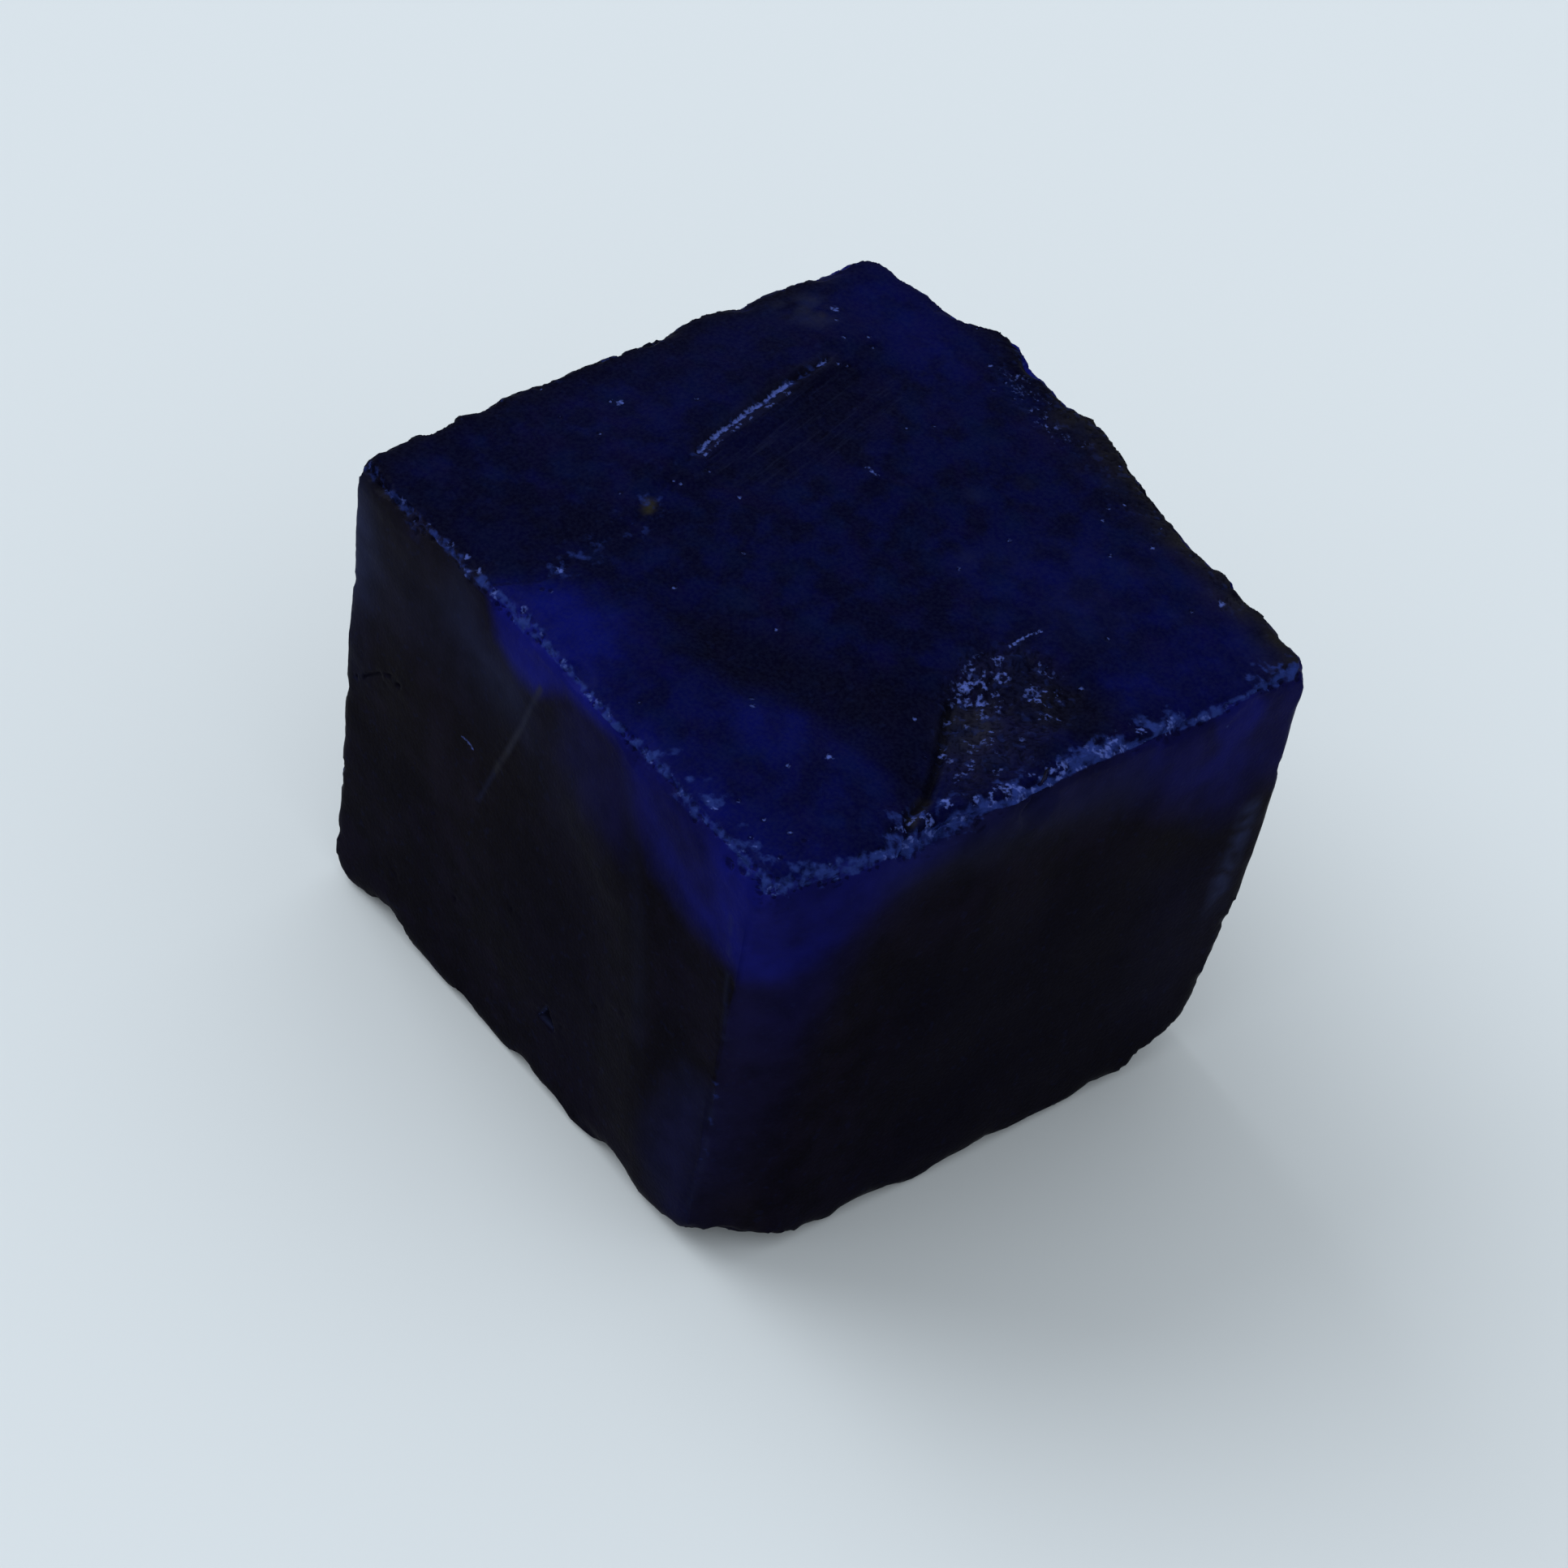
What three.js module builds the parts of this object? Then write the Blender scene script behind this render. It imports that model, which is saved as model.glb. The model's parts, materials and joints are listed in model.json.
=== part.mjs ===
// A rough tanzanite crystal: one blocky, cleaved solid with six main faces, crumbled edges and worn
// corners. Millimetres, +Z up, the flat underside on Z = 0, the origin at the middle of the underside.

import * as THREE from "three";
import { ImprovedNoise } from "three/addons/math/ImprovedNoise.js";
import { mergeVertices } from "three/addons/utils/BufferGeometryUtils.js";

// ---- The plain block that the six main faces would make ----
const LENGTH = 25.6; // along X
const DEPTH = 24.4; // along Y
const HEIGHT = 19.8; // from the underside to the top face

// ---- Surface grid: lines crowd towards the edges, where the stone has crumbled ----
const GRID_LINES = { x: 28, y: 28, z: 24 };
const EDGE_CROWDING = 0.3; // 0 spaces the lines evenly

// ---- Edges ----
const EDGE_RADIUS = 0.35;
const CRUMBLE_REACH = 1.2; // how far from an edge its chips reach
const CRUMBLE_DEPTH = 0.3;
const CRUMBLE_LENGTH = 1.7; // usual size of a chip along the edge
const CRUMBLE_SHARE = 0.3; // higher leaves less of the edge unbroken
const UPRIGHT_SHARE = 0.3; // the four upright edges are worn smooth, with fewer chips

// How far each upper and lower edge stands out from the plain block, as [place along it, outwards].
const FRONT_TOP = [[-12, 0.2], [-9, 0.25], [-4, -0.15], [3, 0], [8, 0.15], [12, 0.15]];
const FRONT_FOOT = [[-12, 0.4], [12, -0.15]];
const BACK_TOP = [[-12, -1.2], [-8.4, -0.45], [-3, -0.05], [-0.9, -0.05], [2.5, -0.75], [4.5, -1.1], [7.5, -1.3],
  [12, -1.45]];
const BACK_FOOT = [[-12, -1.4], [12, -2.05]];
const LEFT_TOP = [[-12, -0.65], [-10, -0.3], [-5, -0.05], [-2, -0.05], [4.4, 0.2], [8, 0.1], [12, -0.05]];
const LEFT_FOOT = [[-12, -1.15], [12, -0.3]];
const RIGHT_TOP = [[-12, -0.6], [-9, -0.3], [-2.6, 0.1], [1, -0.1], [6, 0.15], [12, 0.15]];
const RIGHT_FOOT = [[-12, -0.85], [12, -0.45]];

// ---- Small flats where edges and corners have broken away ----
const WORN_FLATS = [
  { name: "front right edge", through: [10.8, -12.3, 10], facing: [0.85, -0.53, -0.05], below: 18.9 },
  { name: "front right rim", through: [12.1, -12, 19], facing: [1, -1, 0.2] },
  { name: "front left edge", through: [-12.2, -12.2, 10], facing: [-1, -1, 0] },
  { name: "front left corner", through: [-12, -12, 19.6], facing: [-1, -0.7, 0.9] },
  { name: "back right edge", through: [12.55, 10.2, 8.6], facing: [0.766, 0.627, -0.141] },
  { name: "back right corner", through: [12.4, 10.6, 19], facing: [0.8, 0.8, 0.2] },
  { name: "back left edge", through: [-12.5, 10.5, 10], facing: [-1, 1, 0] },
  { name: "front right foot", through: [12, -11.65, 1.7], facing: [0.41, -0.37, -0.83] },
  { name: "back right foot", through: [12, 9.6, 2.2], facing: [0.35, 0.5, -0.79] },
  { name: "front left foot", through: [-11.9, -12.2, 1], facing: [-0.6, -0.5, -0.62] },
  { name: "back left foot", through: [-11.8, 9.8, 1.6], facing: [-0.5, 0.55, -0.67] },
];
const LIP_HEIGHT = 1.2; // height over which a flat runs out under a rim
const FLAT_UNEVENNESS = 0.16;
const FLAT_WAVE = 2.6;

// ---- Marks that break the line of the upper edges, at [X or Y, Z] on the face beside the edge ----
const BACK_KNOB = { at: [-6.1, 19.6], reach: 2.2, depth: -0.8 };
const BACK_NOTCH = { at: [-8, 20], reach: 1.5, depth: 0.35 };
const RIGHT_NOTCH = { at: [-5.4, 20], reach: 1.8, depth: 0.5 };

// ---- Top face: a fracture steps down along a curved scar, given as [Y, X] ----
const SCAR = [[-12, -4.3], [-8.4, -4.2], [-4.65, -5.3], [-1.95, -6.7], [1.85, -7.9], [5.65, -8.6],
  [8, -8.9]];
const SCAR_STEP = 0.34;
const SCAR_RAMP = 1.6; // width of the step's slope
const SCAR_TAIL = 6; // how far behind the scar the raised side sinks back
const SCAR_START = [-8, -2]; // the step rises between these two Y places
const SCAR_END = [6, 9]; // and dies out between these
const GROOVE = [[8.2, -1.6], [9.7, -3.45], [11.5, -5.55], [12.6, -6.6]];
const GROOVE_DEPTH = 0.38;
const GROOVE_REACH = 1.6;
const VALLEY = [[0.2, -6.55], [3.7, -6.05], [6.7, -5.65], [9.6, -5.85]];
const VALLEY_DEPTH = 0.22;
const VALLEY_REACH = 2.4;
const PITTED_PATCH = { at: [8.9, -0.6], reach: 2.4, depth: 0.22 };
const DARK_HOLLOW = { at: [10.1, 2.3], reach: 1.9, depth: 0.32 };

// ---- Front face, as [X, Z] ----
const FRONT_RIDGE = [[3.7, 14.8], [6, 12.5], [6.6, 9.9], [7.4, 3.5]];
const RIDGE_HEIGHT = 0.22;
const RIDGE_REACH = 3.2;

// ---- Left face: a shell-shaped break at [Y, Z] above a ledge that runs as [Y, Z] ----
const LEFT_SHELL_SCAR = { at: [2.5, 12.8], reach: 7, depth: 1.1 };
const LEFT_LEDGE = [[-12, 6.2], [-4, 5.2], [3, 4.4], [12, 5]];
const LEFT_LEDGE_TAIL = [7, 13]; // the sunk side comes level again between these heights
const LEFT_LEDGE_START = [-11, -6]; // the ledge grows out of the face between these Y places

// ---- Back face: two upright cleavage steps that run as [Z, X] ----
const BACK_LEDGES = [
  { line: [[0, -3.5], [8, -2.6], [20, -3.2]], step: 0.6 },
  { line: [[0, 4.4], [9, 4.9], [20, 5.6]], step: 0.42 },
];
const BACK_LEDGE_TAIL = 5;
const BACK_LEDGE_END = [13, 18]; // the steps die out upwards between these heights
const LEDGE_STEP = 0.6;
const LEDGE_RAMP = 0.35;

// ---- Broad unevenness of every face ----
const SWELL_HEIGHT = 0.16;
const SWELL_LENGTH = 5.5;
const TOP_CROWN = 0.25;
const RELIEF_REACH = 3; // a face's relief dies out this far down the faces beside it

const NOISE_PLACES = { chips: 3.1, fineChips: 7.7, flats: 5.9, swell: 11.3 };
const noise = new ImprovedNoise();
const { clamp, lerp, smoothstep } = THREE.MathUtils;

// Smooth noise between -1 and 1 whose bumps are about `size` millimetres long.
function roughness(point, size, start) {
  return noise.noise(point.x / size + start, point.y / size - start, point.z / size + 2 * start);
}

// Value at one place along a line of [place, value] points.
function along(line, place) {
  let value = line[0][1];
  for (let i = 1; i < line.length; i += 1) {
    value = lerp(value, line[i][1], clamp((place - line[i - 1][0]) / (line[i][0] - line[i - 1][0]), 0, 1));
  }
  return value;
}

// Shortest distance from a spot on a face to a path drawn on it.
function distanceToPath(path, a, b) {
  const spot = new THREE.Vector2(a, b);
  let nearest = Infinity;
  for (let i = 1; i < path.length; i += 1) {
    const start = new THREE.Vector2(...path[i - 1]);
    const leg = new THREE.Vector2(...path[i]).sub(start);
    const share = clamp(spot.clone().sub(start).dot(leg) / leg.lengthSq(), 0, 1);
    nearest = Math.min(nearest, spot.distanceTo(start.addScaledVector(leg, share)));
  }
  return nearest;
}

// Bump of height 1 along a path, falling to 0 at the given reach.
function bandAlong(path, a, b, reach) {
  return 1 - smoothstep(distanceToPath(path, a, b), 0, reach);
}

// Round dish of the given reach and depth.
function dish({ at, reach, depth }, a, b) {
  return depth * (1 - smoothstep(Math.hypot(a - at[0], b - at[1]), 0, reach));
}

// Spreads evenly spaced grid lines so that they crowd towards both ends.
function crowd(place) {
  return place * (1 + EDGE_CROWDING) - EDGE_CROWDING * place ** 3;
}

// How far a point of the plain block lies inside each pair of faces.
function insets(point) {
  const middle = HEIGHT / 2;
  return {
    x: LENGTH / 2 - Math.abs(point.x),
    y: DEPTH / 2 - Math.abs(point.y),
    z: middle - Math.abs(point.z - middle),
  };
}

// Rolls the block's corners over to the edge radius.
function roundEdges(point) {
  const core = new THREE.Vector3(LENGTH / 2, DEPTH / 2, HEIGHT / 2).subScalar(EDGE_RADIUS);
  const raised = new THREE.Vector3(0, 0, HEIGHT / 2);
  const inner = point.clone().sub(raised).clamp(core.clone().negate(), core).add(raised);
  const rim = point.clone().sub(inner);
  point.copy(inner).add(rim.setLength(EDGE_RADIUS));
}

// Breaks small bites out of the stone wherever two faces meet.
function crumbleEdges(point) {
  const inset = insets(point);
  const near = {
    x: 1 - smoothstep(inset.x, 0, CRUMBLE_REACH),
    y: 1 - smoothstep(inset.y, 0, CRUMBLE_REACH),
    z: 1 - smoothstep(inset.z, 0, CRUMBLE_REACH),
  };
  const meeting = Math.max(UPRIGHT_SHARE * near.x * near.y, near.y * near.z, near.z * near.x);
  const coarse = roughness(point, CRUMBLE_LENGTH, NOISE_PLACES.chips);
  const fine = roughness(point, CRUMBLE_LENGTH / 2.3, NOISE_PLACES.fineChips);
  const bite = CRUMBLE_DEPTH * meeting * clamp(CRUMBLE_SHARE + coarse + 0.35 * fine, 0, 1.2);
  point.x -= Math.sign(point.x) * near.x * bite;
  point.y -= Math.sign(point.y) * near.y * bite;
  point.z -= Math.sign(point.z - HEIGHT / 2) * near.z * bite;
}

// Carries the plain block's edges to where the crystal's own edges run.
function followEdges(point) {
  const rise = point.z / HEIGHT;
  const right = lerp(along(RIGHT_FOOT, point.y), along(RIGHT_TOP, point.y), rise);
  const left = lerp(along(LEFT_FOOT, point.y), along(LEFT_TOP, point.y), rise);
  const back = lerp(along(BACK_FOOT, point.x), along(BACK_TOP, point.x), rise ** 2);
  const front = lerp(along(FRONT_FOOT, point.x), along(FRONT_TOP, point.x), rise);
  const shareX = point.x / LENGTH + 0.5;
  const shareY = point.y / DEPTH + 0.5;
  point.x += lerp(-left, right, shareX);
  point.y += lerp(-front, back, shareY);
}

// Height of the top face's own relief above its plain level.
function topRelief(x, y) {
  const behind = along(SCAR, y) - x;
  const fade = smoothstep(y, ...SCAR_START) * (1 - smoothstep(y, ...SCAR_END));
  const raised = smoothstep(behind, -SCAR_RAMP, 0) * (1 - smoothstep(behind, 0, SCAR_TAIL));
  const crown = TOP_CROWN * (1 - (2 * x / LENGTH) ** 2) * (1 - (2 * y / DEPTH) ** 2);
  return crown + SCAR_STEP * fade * raised
    - GROOVE_DEPTH * bandAlong(GROOVE, x, y, GROOVE_REACH)
    - VALLEY_DEPTH * bandAlong(VALLEY, x, y, VALLEY_REACH)
    - dish(PITTED_PATCH, x, y) - dish(DARK_HOLLOW, x, y);
}

// Outward relief of the front face.
function frontRelief(x, z) {
  return RIDGE_HEIGHT * bandAlong(FRONT_RIDGE, x, z, RIDGE_REACH);
}

// Outward relief of the left face: a shell-shaped break above a ledge.
function leftRelief(y, z) {
  const sunk = smoothstep(z - along(LEFT_LEDGE, y), -LEDGE_RAMP, LEDGE_RAMP);
  const step = LEDGE_STEP * smoothstep(y, ...LEFT_LEDGE_START) * (1 - smoothstep(z, ...LEFT_LEDGE_TAIL));
  return -dish(LEFT_SHELL_SCAR, y, z) - step * sunk;
}

// Outward relief of the back face: two upright cleavage steps, and the knob and notch under its edge.
function backRelief(x, z) {
  let relief = -dish(BACK_KNOB, x, z) - dish(BACK_NOTCH, x, z);
  for (const { line, step } of BACK_LEDGES) {
    const beyond = x - along(line, z);
    const tail = 1 - smoothstep(beyond, LEDGE_RAMP, BACK_LEDGE_TAIL);
    const fade = 1 - smoothstep(z, ...BACK_LEDGE_END);
    relief -= step * smoothstep(beyond, -LEDGE_RAMP, LEDGE_RAMP) * tail * fade;
  }
  return relief;
}

// Outward relief of the right face.
function rightRelief(y, z) {
  return -dish(RIGHT_NOTCH, y, z);
}

// Pushes each face in or out by its own relief and by a broad swell. The underside stays flat.
function addRelief(point, inset) {
  const swell = SWELL_HEIGHT * roughness(point, SWELL_LENGTH, NOISE_PLACES.swell);
  const onFace = (distance) => 1 - smoothstep(distance, 0, RELIEF_REACH);
  const { x, y, z } = point;
  const top = z > HEIGHT / 2 ? onFace(inset.z) : 0;
  const front = y < 0 ? onFace(inset.y) : 0;
  const back = y > 0 ? onFace(inset.y) : 0;
  const left = x < 0 ? onFace(inset.x) : 0;
  const right = x > 0 ? onFace(inset.x) : 0;
  point.z += top * (topRelief(x, y) + swell);
  point.y -= front * (frontRelief(x, z) + swell) - back * (backRelief(x, z) + swell);
  point.x -= left * (leftRelief(y, z) + swell) - right * (rightRelief(y, z) + swell);
}

// Lays every point that stands out past a flat back onto it. A flat with a `below` level runs out
// under that level and leaves a lip above it.
function cutFlat(point, { through, facing, below = 2 * HEIGHT }) {
  const outward = new THREE.Vector3(...facing).normalize();
  const wave = FLAT_UNEVENNESS * roughness(point, FLAT_WAVE, NOISE_PLACES.flats);
  const beyond = point.clone().sub(new THREE.Vector3(...through)).dot(outward) - wave;
  const share = 1 - smoothstep(point.z, below - LIP_HEIGHT, below);
  point.addScaledVector(outward, -Math.max(0, beyond) * share);
}

// Closed block surface with merged corners and crowded grid lines, standing on Z = 0.
function blockSurface() {
  const box = new THREE.BoxGeometry(2, 2, 2, GRID_LINES.x, GRID_LINES.y, GRID_LINES.z);
  box.deleteAttribute("normal");
  box.deleteAttribute("uv");
  return mergeVertices(box, 1e-4);
}

// The crystal's whole surface, worked out point by point from the plain block.
function crystalGeometry() {
  const surface = blockSurface();
  const places = surface.getAttribute("position");
  const point = new THREE.Vector3();
  for (let i = 0; i < places.count; i += 1) {
    point.fromBufferAttribute(places, i);
    point.set(crowd(point.x) * LENGTH / 2, crowd(point.y) * DEPTH / 2, (crowd(point.z) + 1) * HEIGHT / 2);
    roundEdges(point);
    const inset = insets(point);
    crumbleEdges(point);
    followEdges(point);
    addRelief(point, inset);
    WORN_FLATS.forEach((flat) => cutFlat(point, flat));
    point.z = Math.max(point.z, 0);
    places.setXYZ(i, point.x, point.y, point.z);
  }
  surface.computeBoundingBox();
  const centre = surface.boundingBox.getCenter(new THREE.Vector3());
  surface.translate(-centre.x, -centre.y, 0);
  surface.computeVertexNormals();
  return surface;
}

const deepBlue = new THREE.MeshStandardMaterial({ color: 0x0b1040, roughness: 0.45, metalness: 0 });

const crystal = new THREE.Mesh(crystalGeometry(), deepBlue);
crystal.name = "tanzanite_crystal";

const tanzanite = new THREE.Group();
tanzanite.add(crystal);

export default tanzanite;
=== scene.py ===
"""A rough tanzanite crystal: the dressed stone round its CAD solid, on a plain pale floor.

Places and sizes are millimetres in the row frame: +Z up, the origin in the middle of the flat underside.
They become metres only where Blender is handed them.
"""

import json
import logging
import math
from dataclasses import dataclass, field
from enum import Enum
from typing import Any, Mapping, Protocol, Sequence, Union

import bpy
import numpy as np
from mathutils import Matrix, Vector, noise
from mathutils.kdtree import KDTree

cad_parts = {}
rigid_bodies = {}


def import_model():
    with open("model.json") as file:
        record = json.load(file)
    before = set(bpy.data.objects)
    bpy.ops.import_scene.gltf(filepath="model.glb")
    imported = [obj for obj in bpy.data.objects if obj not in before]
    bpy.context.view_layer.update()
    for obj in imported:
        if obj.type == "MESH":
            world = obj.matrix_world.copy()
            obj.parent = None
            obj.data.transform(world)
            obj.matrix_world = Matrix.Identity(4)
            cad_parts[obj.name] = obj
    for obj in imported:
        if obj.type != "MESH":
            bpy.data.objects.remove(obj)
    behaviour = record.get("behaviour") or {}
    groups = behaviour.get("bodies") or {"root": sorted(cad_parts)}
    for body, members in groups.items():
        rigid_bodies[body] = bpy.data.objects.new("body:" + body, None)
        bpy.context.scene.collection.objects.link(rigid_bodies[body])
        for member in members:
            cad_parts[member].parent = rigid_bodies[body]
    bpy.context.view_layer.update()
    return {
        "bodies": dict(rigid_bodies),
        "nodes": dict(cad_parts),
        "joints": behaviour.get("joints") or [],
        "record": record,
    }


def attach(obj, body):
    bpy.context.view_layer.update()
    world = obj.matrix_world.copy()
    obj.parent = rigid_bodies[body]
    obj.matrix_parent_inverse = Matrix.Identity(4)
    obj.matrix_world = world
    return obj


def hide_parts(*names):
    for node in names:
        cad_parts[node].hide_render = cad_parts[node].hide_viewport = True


MM = 0.001

log = logging.getLogger("rough tanzanite")

Spot = tuple[float, float]
Path = tuple[Spot, ...]
Triple = tuple[float, float, float]
Colour = tuple[float, float, float]


# ------------------------------------------------------------------------------------------------
# Places on the stone
# ------------------------------------------------------------------------------------------------


class Face(Enum):
    """The faces that are drawn on.

    Each value gives the two axes that places on the face are measured along, the axis that the face
    looks along, and whether it looks up it or down it.
    """

    TOP = (0, 1, 2, 1)
    FRONT = (0, 2, 1, -1)
    BACK = (0, 2, 1, 1)
    LEFT = (1, 2, 0, -1)
    RIGHT = (1, 2, 0, 1)

    def spots(self, points: np.ndarray) -> np.ndarray:
        """Return where points lie, measured along the face's own two axes."""
        return points[:, [self.value[0], self.value[1]]]

    def turned_to(self, normals: np.ndarray) -> np.ndarray:
        """Return how far each normal looks the face's way, eased from 0 to 1."""
        return eased(normals[:, self.value[2]] * self.value[3], *FACING)


class Edge(Enum):
    """The stone's edges: round the top, the four uprights and round the foot."""

    RIM = "rim"
    UPRIGHT = "upright"
    FOOT = "foot"


TOP, FRONT, BACK, LEFT, RIGHT = Face
RIM, UPRIGHT, FOOT = Edge

FACING = (0.3, 0.62)  # a normal's share of a face's way: none of the face below, all of it above
SLANT = (0.4, 0.86)  # the same share upwards or downwards, on the rim and the foot
SQUARE = 0.88  # the sideways share from which a normal belongs to a side and not to an upright edge
RIM_HEIGHT = 3.0  # how far below the top the rim may dip
FOOT_HEIGHT = 4.0  # how high the foot may rise
PATCH_EDGE = (0.35, 0.65)  # the noise between which a patchy mark comes in, less its share


def eased(value: np.ndarray, low: float, high: float) -> np.ndarray:
    """Return 0 below low, 1 above high, and a smooth change between them; low may be the larger."""
    share = np.clip((value - low) / (high - low), 0.0, 1.0)
    return share * share * (3.0 - 2.0 * share)


def distance_to_path(spots: np.ndarray, path: Path) -> np.ndarray:
    """Measure how far spots on a face lie from a line drawn on it.

    Args:
        spots: One row of two places for each spot.
        path: The line's points.

    Returns:
        The shortest distance of each spot.
    """
    nearest = np.full(len(spots), np.inf)
    for start, end in zip(path, path[1:]):
        leg = np.subtract(end, start)
        share = np.clip((spots - start) @ leg / (leg @ leg), 0.0, 1.0)
        gap = spots - start - share[:, None] * leg
        nearest = np.minimum(nearest, np.hypot(gap[:, 0], gap[:, 1]))
    return nearest


def depth_inside(spots: np.ndarray, outline: Path) -> np.ndarray:
    """Measure how deep spots lie inside a closed outline.

    Args:
        spots: One row of two places for each spot.
        outline: The corners, in order; the last joins the first.

    Returns:
        The distance to the outline, negative outside it.
    """
    closed = (*outline, outline[0])
    inside = np.zeros(len(spots), bool)
    for (ax, ay), (bx, by) in zip(closed, closed[1:]):
        if ay == by:
            continue
        crossed = (ay > spots[:, 1]) != (by > spots[:, 1])
        inside ^= crossed & (spots[:, 0] < ax + (spots[:, 1] - ay) * (bx - ax) / (by - ay))
    gap = distance_to_path(spots, closed)
    return np.where(inside, gap, -gap)


@dataclass(frozen=True)
class Surface:
    """A mesh's points in millimetres, their normals and inward ways, and how far each is from the edges."""

    points: np.ndarray
    normals: np.ndarray
    inwards: np.ndarray
    to_edge: Mapping[Edge, np.ndarray]

    @classmethod
    def of(cls, stone: bpy.types.Object, evening: int = 0) -> "Surface":
        """Read the surface of a stone's mesh.

        Args:
            stone: The stone.
            evening: How many times the inward ways are evened out with their neighbours'.

        Returns:
            Its surface.
        """
        points = read_vectors(stone.data, "co") / MM
        normals = read_vectors(stone.data, "normal")
        inwards = -normals
        for _ in range(evening):
            inwards = inwards + neighbour_mean(stone.data, inwards)
            inwards /= np.linalg.norm(inwards, axis=1, keepdims=True)
        top = points[:, 2].max()
        sideways = np.abs(normals[:, :2]).max(axis=1)
        lift = normals[:, 2]
        on_edge = {
            RIM: (lift > SLANT[0]) & (lift < SLANT[1]) & (points[:, 2] > top - RIM_HEIGHT),
            UPRIGHT: (np.abs(lift) < SLANT[0]) & (sideways < SQUARE),
            FOOT: (lift < -SLANT[0]) & (lift > -SLANT[1]) & (points[:, 2] < FOOT_HEIGHT),
        }
        to_edge = {edge: nearest_of(points, on) for edge, on in on_edge.items()}
        return cls(points, normals, inwards, to_edge)


def read_vectors(mesh: bpy.types.Mesh, what: str) -> np.ndarray:
    """Read three numbers of each vertex.

    Args:
        mesh: The mesh.
        what: Their name in Blender, such as co or normal.

    Returns:
        One row for each vertex.
    """
    flat = np.empty(len(mesh.vertices) * 3, np.float32)
    mesh.vertices.foreach_get(what, flat)
    return flat.reshape(-1, 3).astype(float)


def neighbour_mean(mesh: bpy.types.Mesh, values: np.ndarray) -> np.ndarray:
    """Return the mean of each vertex's neighbours.

    Args:
        mesh: The mesh whose edges join the neighbours.
        values: One row of three numbers for each vertex.

    Returns:
        One row for each vertex.
    """
    ends = np.empty(len(mesh.edges) * 2, np.int32)
    mesh.edges.foreach_get("vertices", ends)
    here, there = ends.reshape(-1, 2).T
    both, other = np.concatenate([here, there]), np.concatenate([there, here])
    count = np.bincount(both, minlength=len(values))
    total = [np.bincount(both, values[other, axis], len(values)) for axis in range(3)]
    return np.stack(total, axis=1) / count[:, None]


def nearest_of(points: np.ndarray, chosen: np.ndarray) -> np.ndarray:
    """Measure how far every point is from the nearest chosen one.

    Args:
        points: One row for each point.
        chosen: True for the points to measure to.

    Returns:
        The distance of each point.
    """
    targets = points[chosen]
    tree = KDTree(len(targets))
    for index, target in enumerate(targets):
        tree.insert(target, index)
    tree.balance()
    return np.array([tree.find(point)[2] for point in points])


# ------------------------------------------------------------------------------------------------
# Marks: where something happens on the surface, as a weight from 0 to 1
# ------------------------------------------------------------------------------------------------


class Mark(Protocol):
    """Something drawn on the stone."""

    def weight(self, surface: Surface) -> np.ndarray:
        """Return the mark's strength at every point."""


@dataclass(frozen=True)
class Everywhere:
    """The whole surface."""

    def weight(self, surface: Surface) -> np.ndarray:
        """Return full strength all over."""
        return np.ones(len(surface.points))


@dataclass(frozen=True)
class Side:
    """One whole face, fading out round its edges."""

    face: Face
    strength: float = 1.0

    def weight(self, surface: Surface) -> np.ndarray:
        """Return how far each point belongs to the face."""
        return self.face.turned_to(surface.normals) * self.strength


@dataclass(frozen=True)
class Area:
    """An area with a soft border, drawn on one face."""

    face: Face
    outline: Path
    feather: float = 0.8
    strength: float = 1.0

    def weight(self, surface: Surface) -> np.ndarray:
        """Measure how far inside each point lies.

        Args:
            surface: The surface.

        Returns:
            The area's strength, which is at its half on the outline.
        """
        depth = depth_inside(self.face.spots(surface.points), self.outline)
        inside = eased(depth, -self.feather, self.feather)
        return inside * self.face.turned_to(surface.normals) * self.strength


@dataclass(frozen=True)
class Line:
    """A line drawn on one face, strongest along its middle."""

    face: Face
    path: Path
    reach: float
    strength: float = 1.0

    def weight(self, surface: Surface) -> np.ndarray:
        """Return the line's strength."""
        gap = distance_to_path(self.face.spots(surface.points), self.path)
        return eased(gap, self.reach, 0.0) * self.face.turned_to(surface.normals) * self.strength


@dataclass(frozen=True)
class Dots:
    """Small round spots of one size on one face."""

    face: Face
    places: Path
    radius: float
    strength: float = 1.0

    def weight(self, surface: Surface) -> np.ndarray:
        """Measure how near each point is to the middle of a dot.

        Args:
            surface: The surface.

        Returns:
            The strength of the nearest dot at each point.
        """
        spots = self.face.spots(surface.points)
        gap = np.full(len(spots), np.inf)
        for place in self.places:
            gap = np.minimum(gap, np.hypot(*(spots - place).T))
        return eased(gap, self.radius, 0.0) * self.face.turned_to(surface.normals) * self.strength


@dataclass(frozen=True)
class Near:
    """A ball round one place in space."""

    place: Triple
    reach: float
    strength: float = 1.0

    def weight(self, surface: Surface) -> np.ndarray:
        """Return the strength, which fades towards the ball's skin."""
        gap = np.linalg.norm(surface.points - self.place, axis=1)
        return eased(gap, self.reach, 0.0) * self.strength


@dataclass(frozen=True)
class Along:
    """A band along one kind of edge."""

    edge: Edge
    reach: float
    strength: float = 1.0

    def weight(self, surface: Surface) -> np.ndarray:
        """Return the band's strength."""
        return eased(surface.to_edge[self.edge], self.reach, 0.0) * self.strength


@dataclass(frozen=True)
class Together:
    """Several marks as one: the strongest counts."""

    marks: tuple[Mark, ...]

    def weight(self, surface: Surface) -> np.ndarray:
        """Return the strongest weight at every point."""
        return np.max([mark.weight(surface) for mark in self.marks], axis=0)


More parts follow.
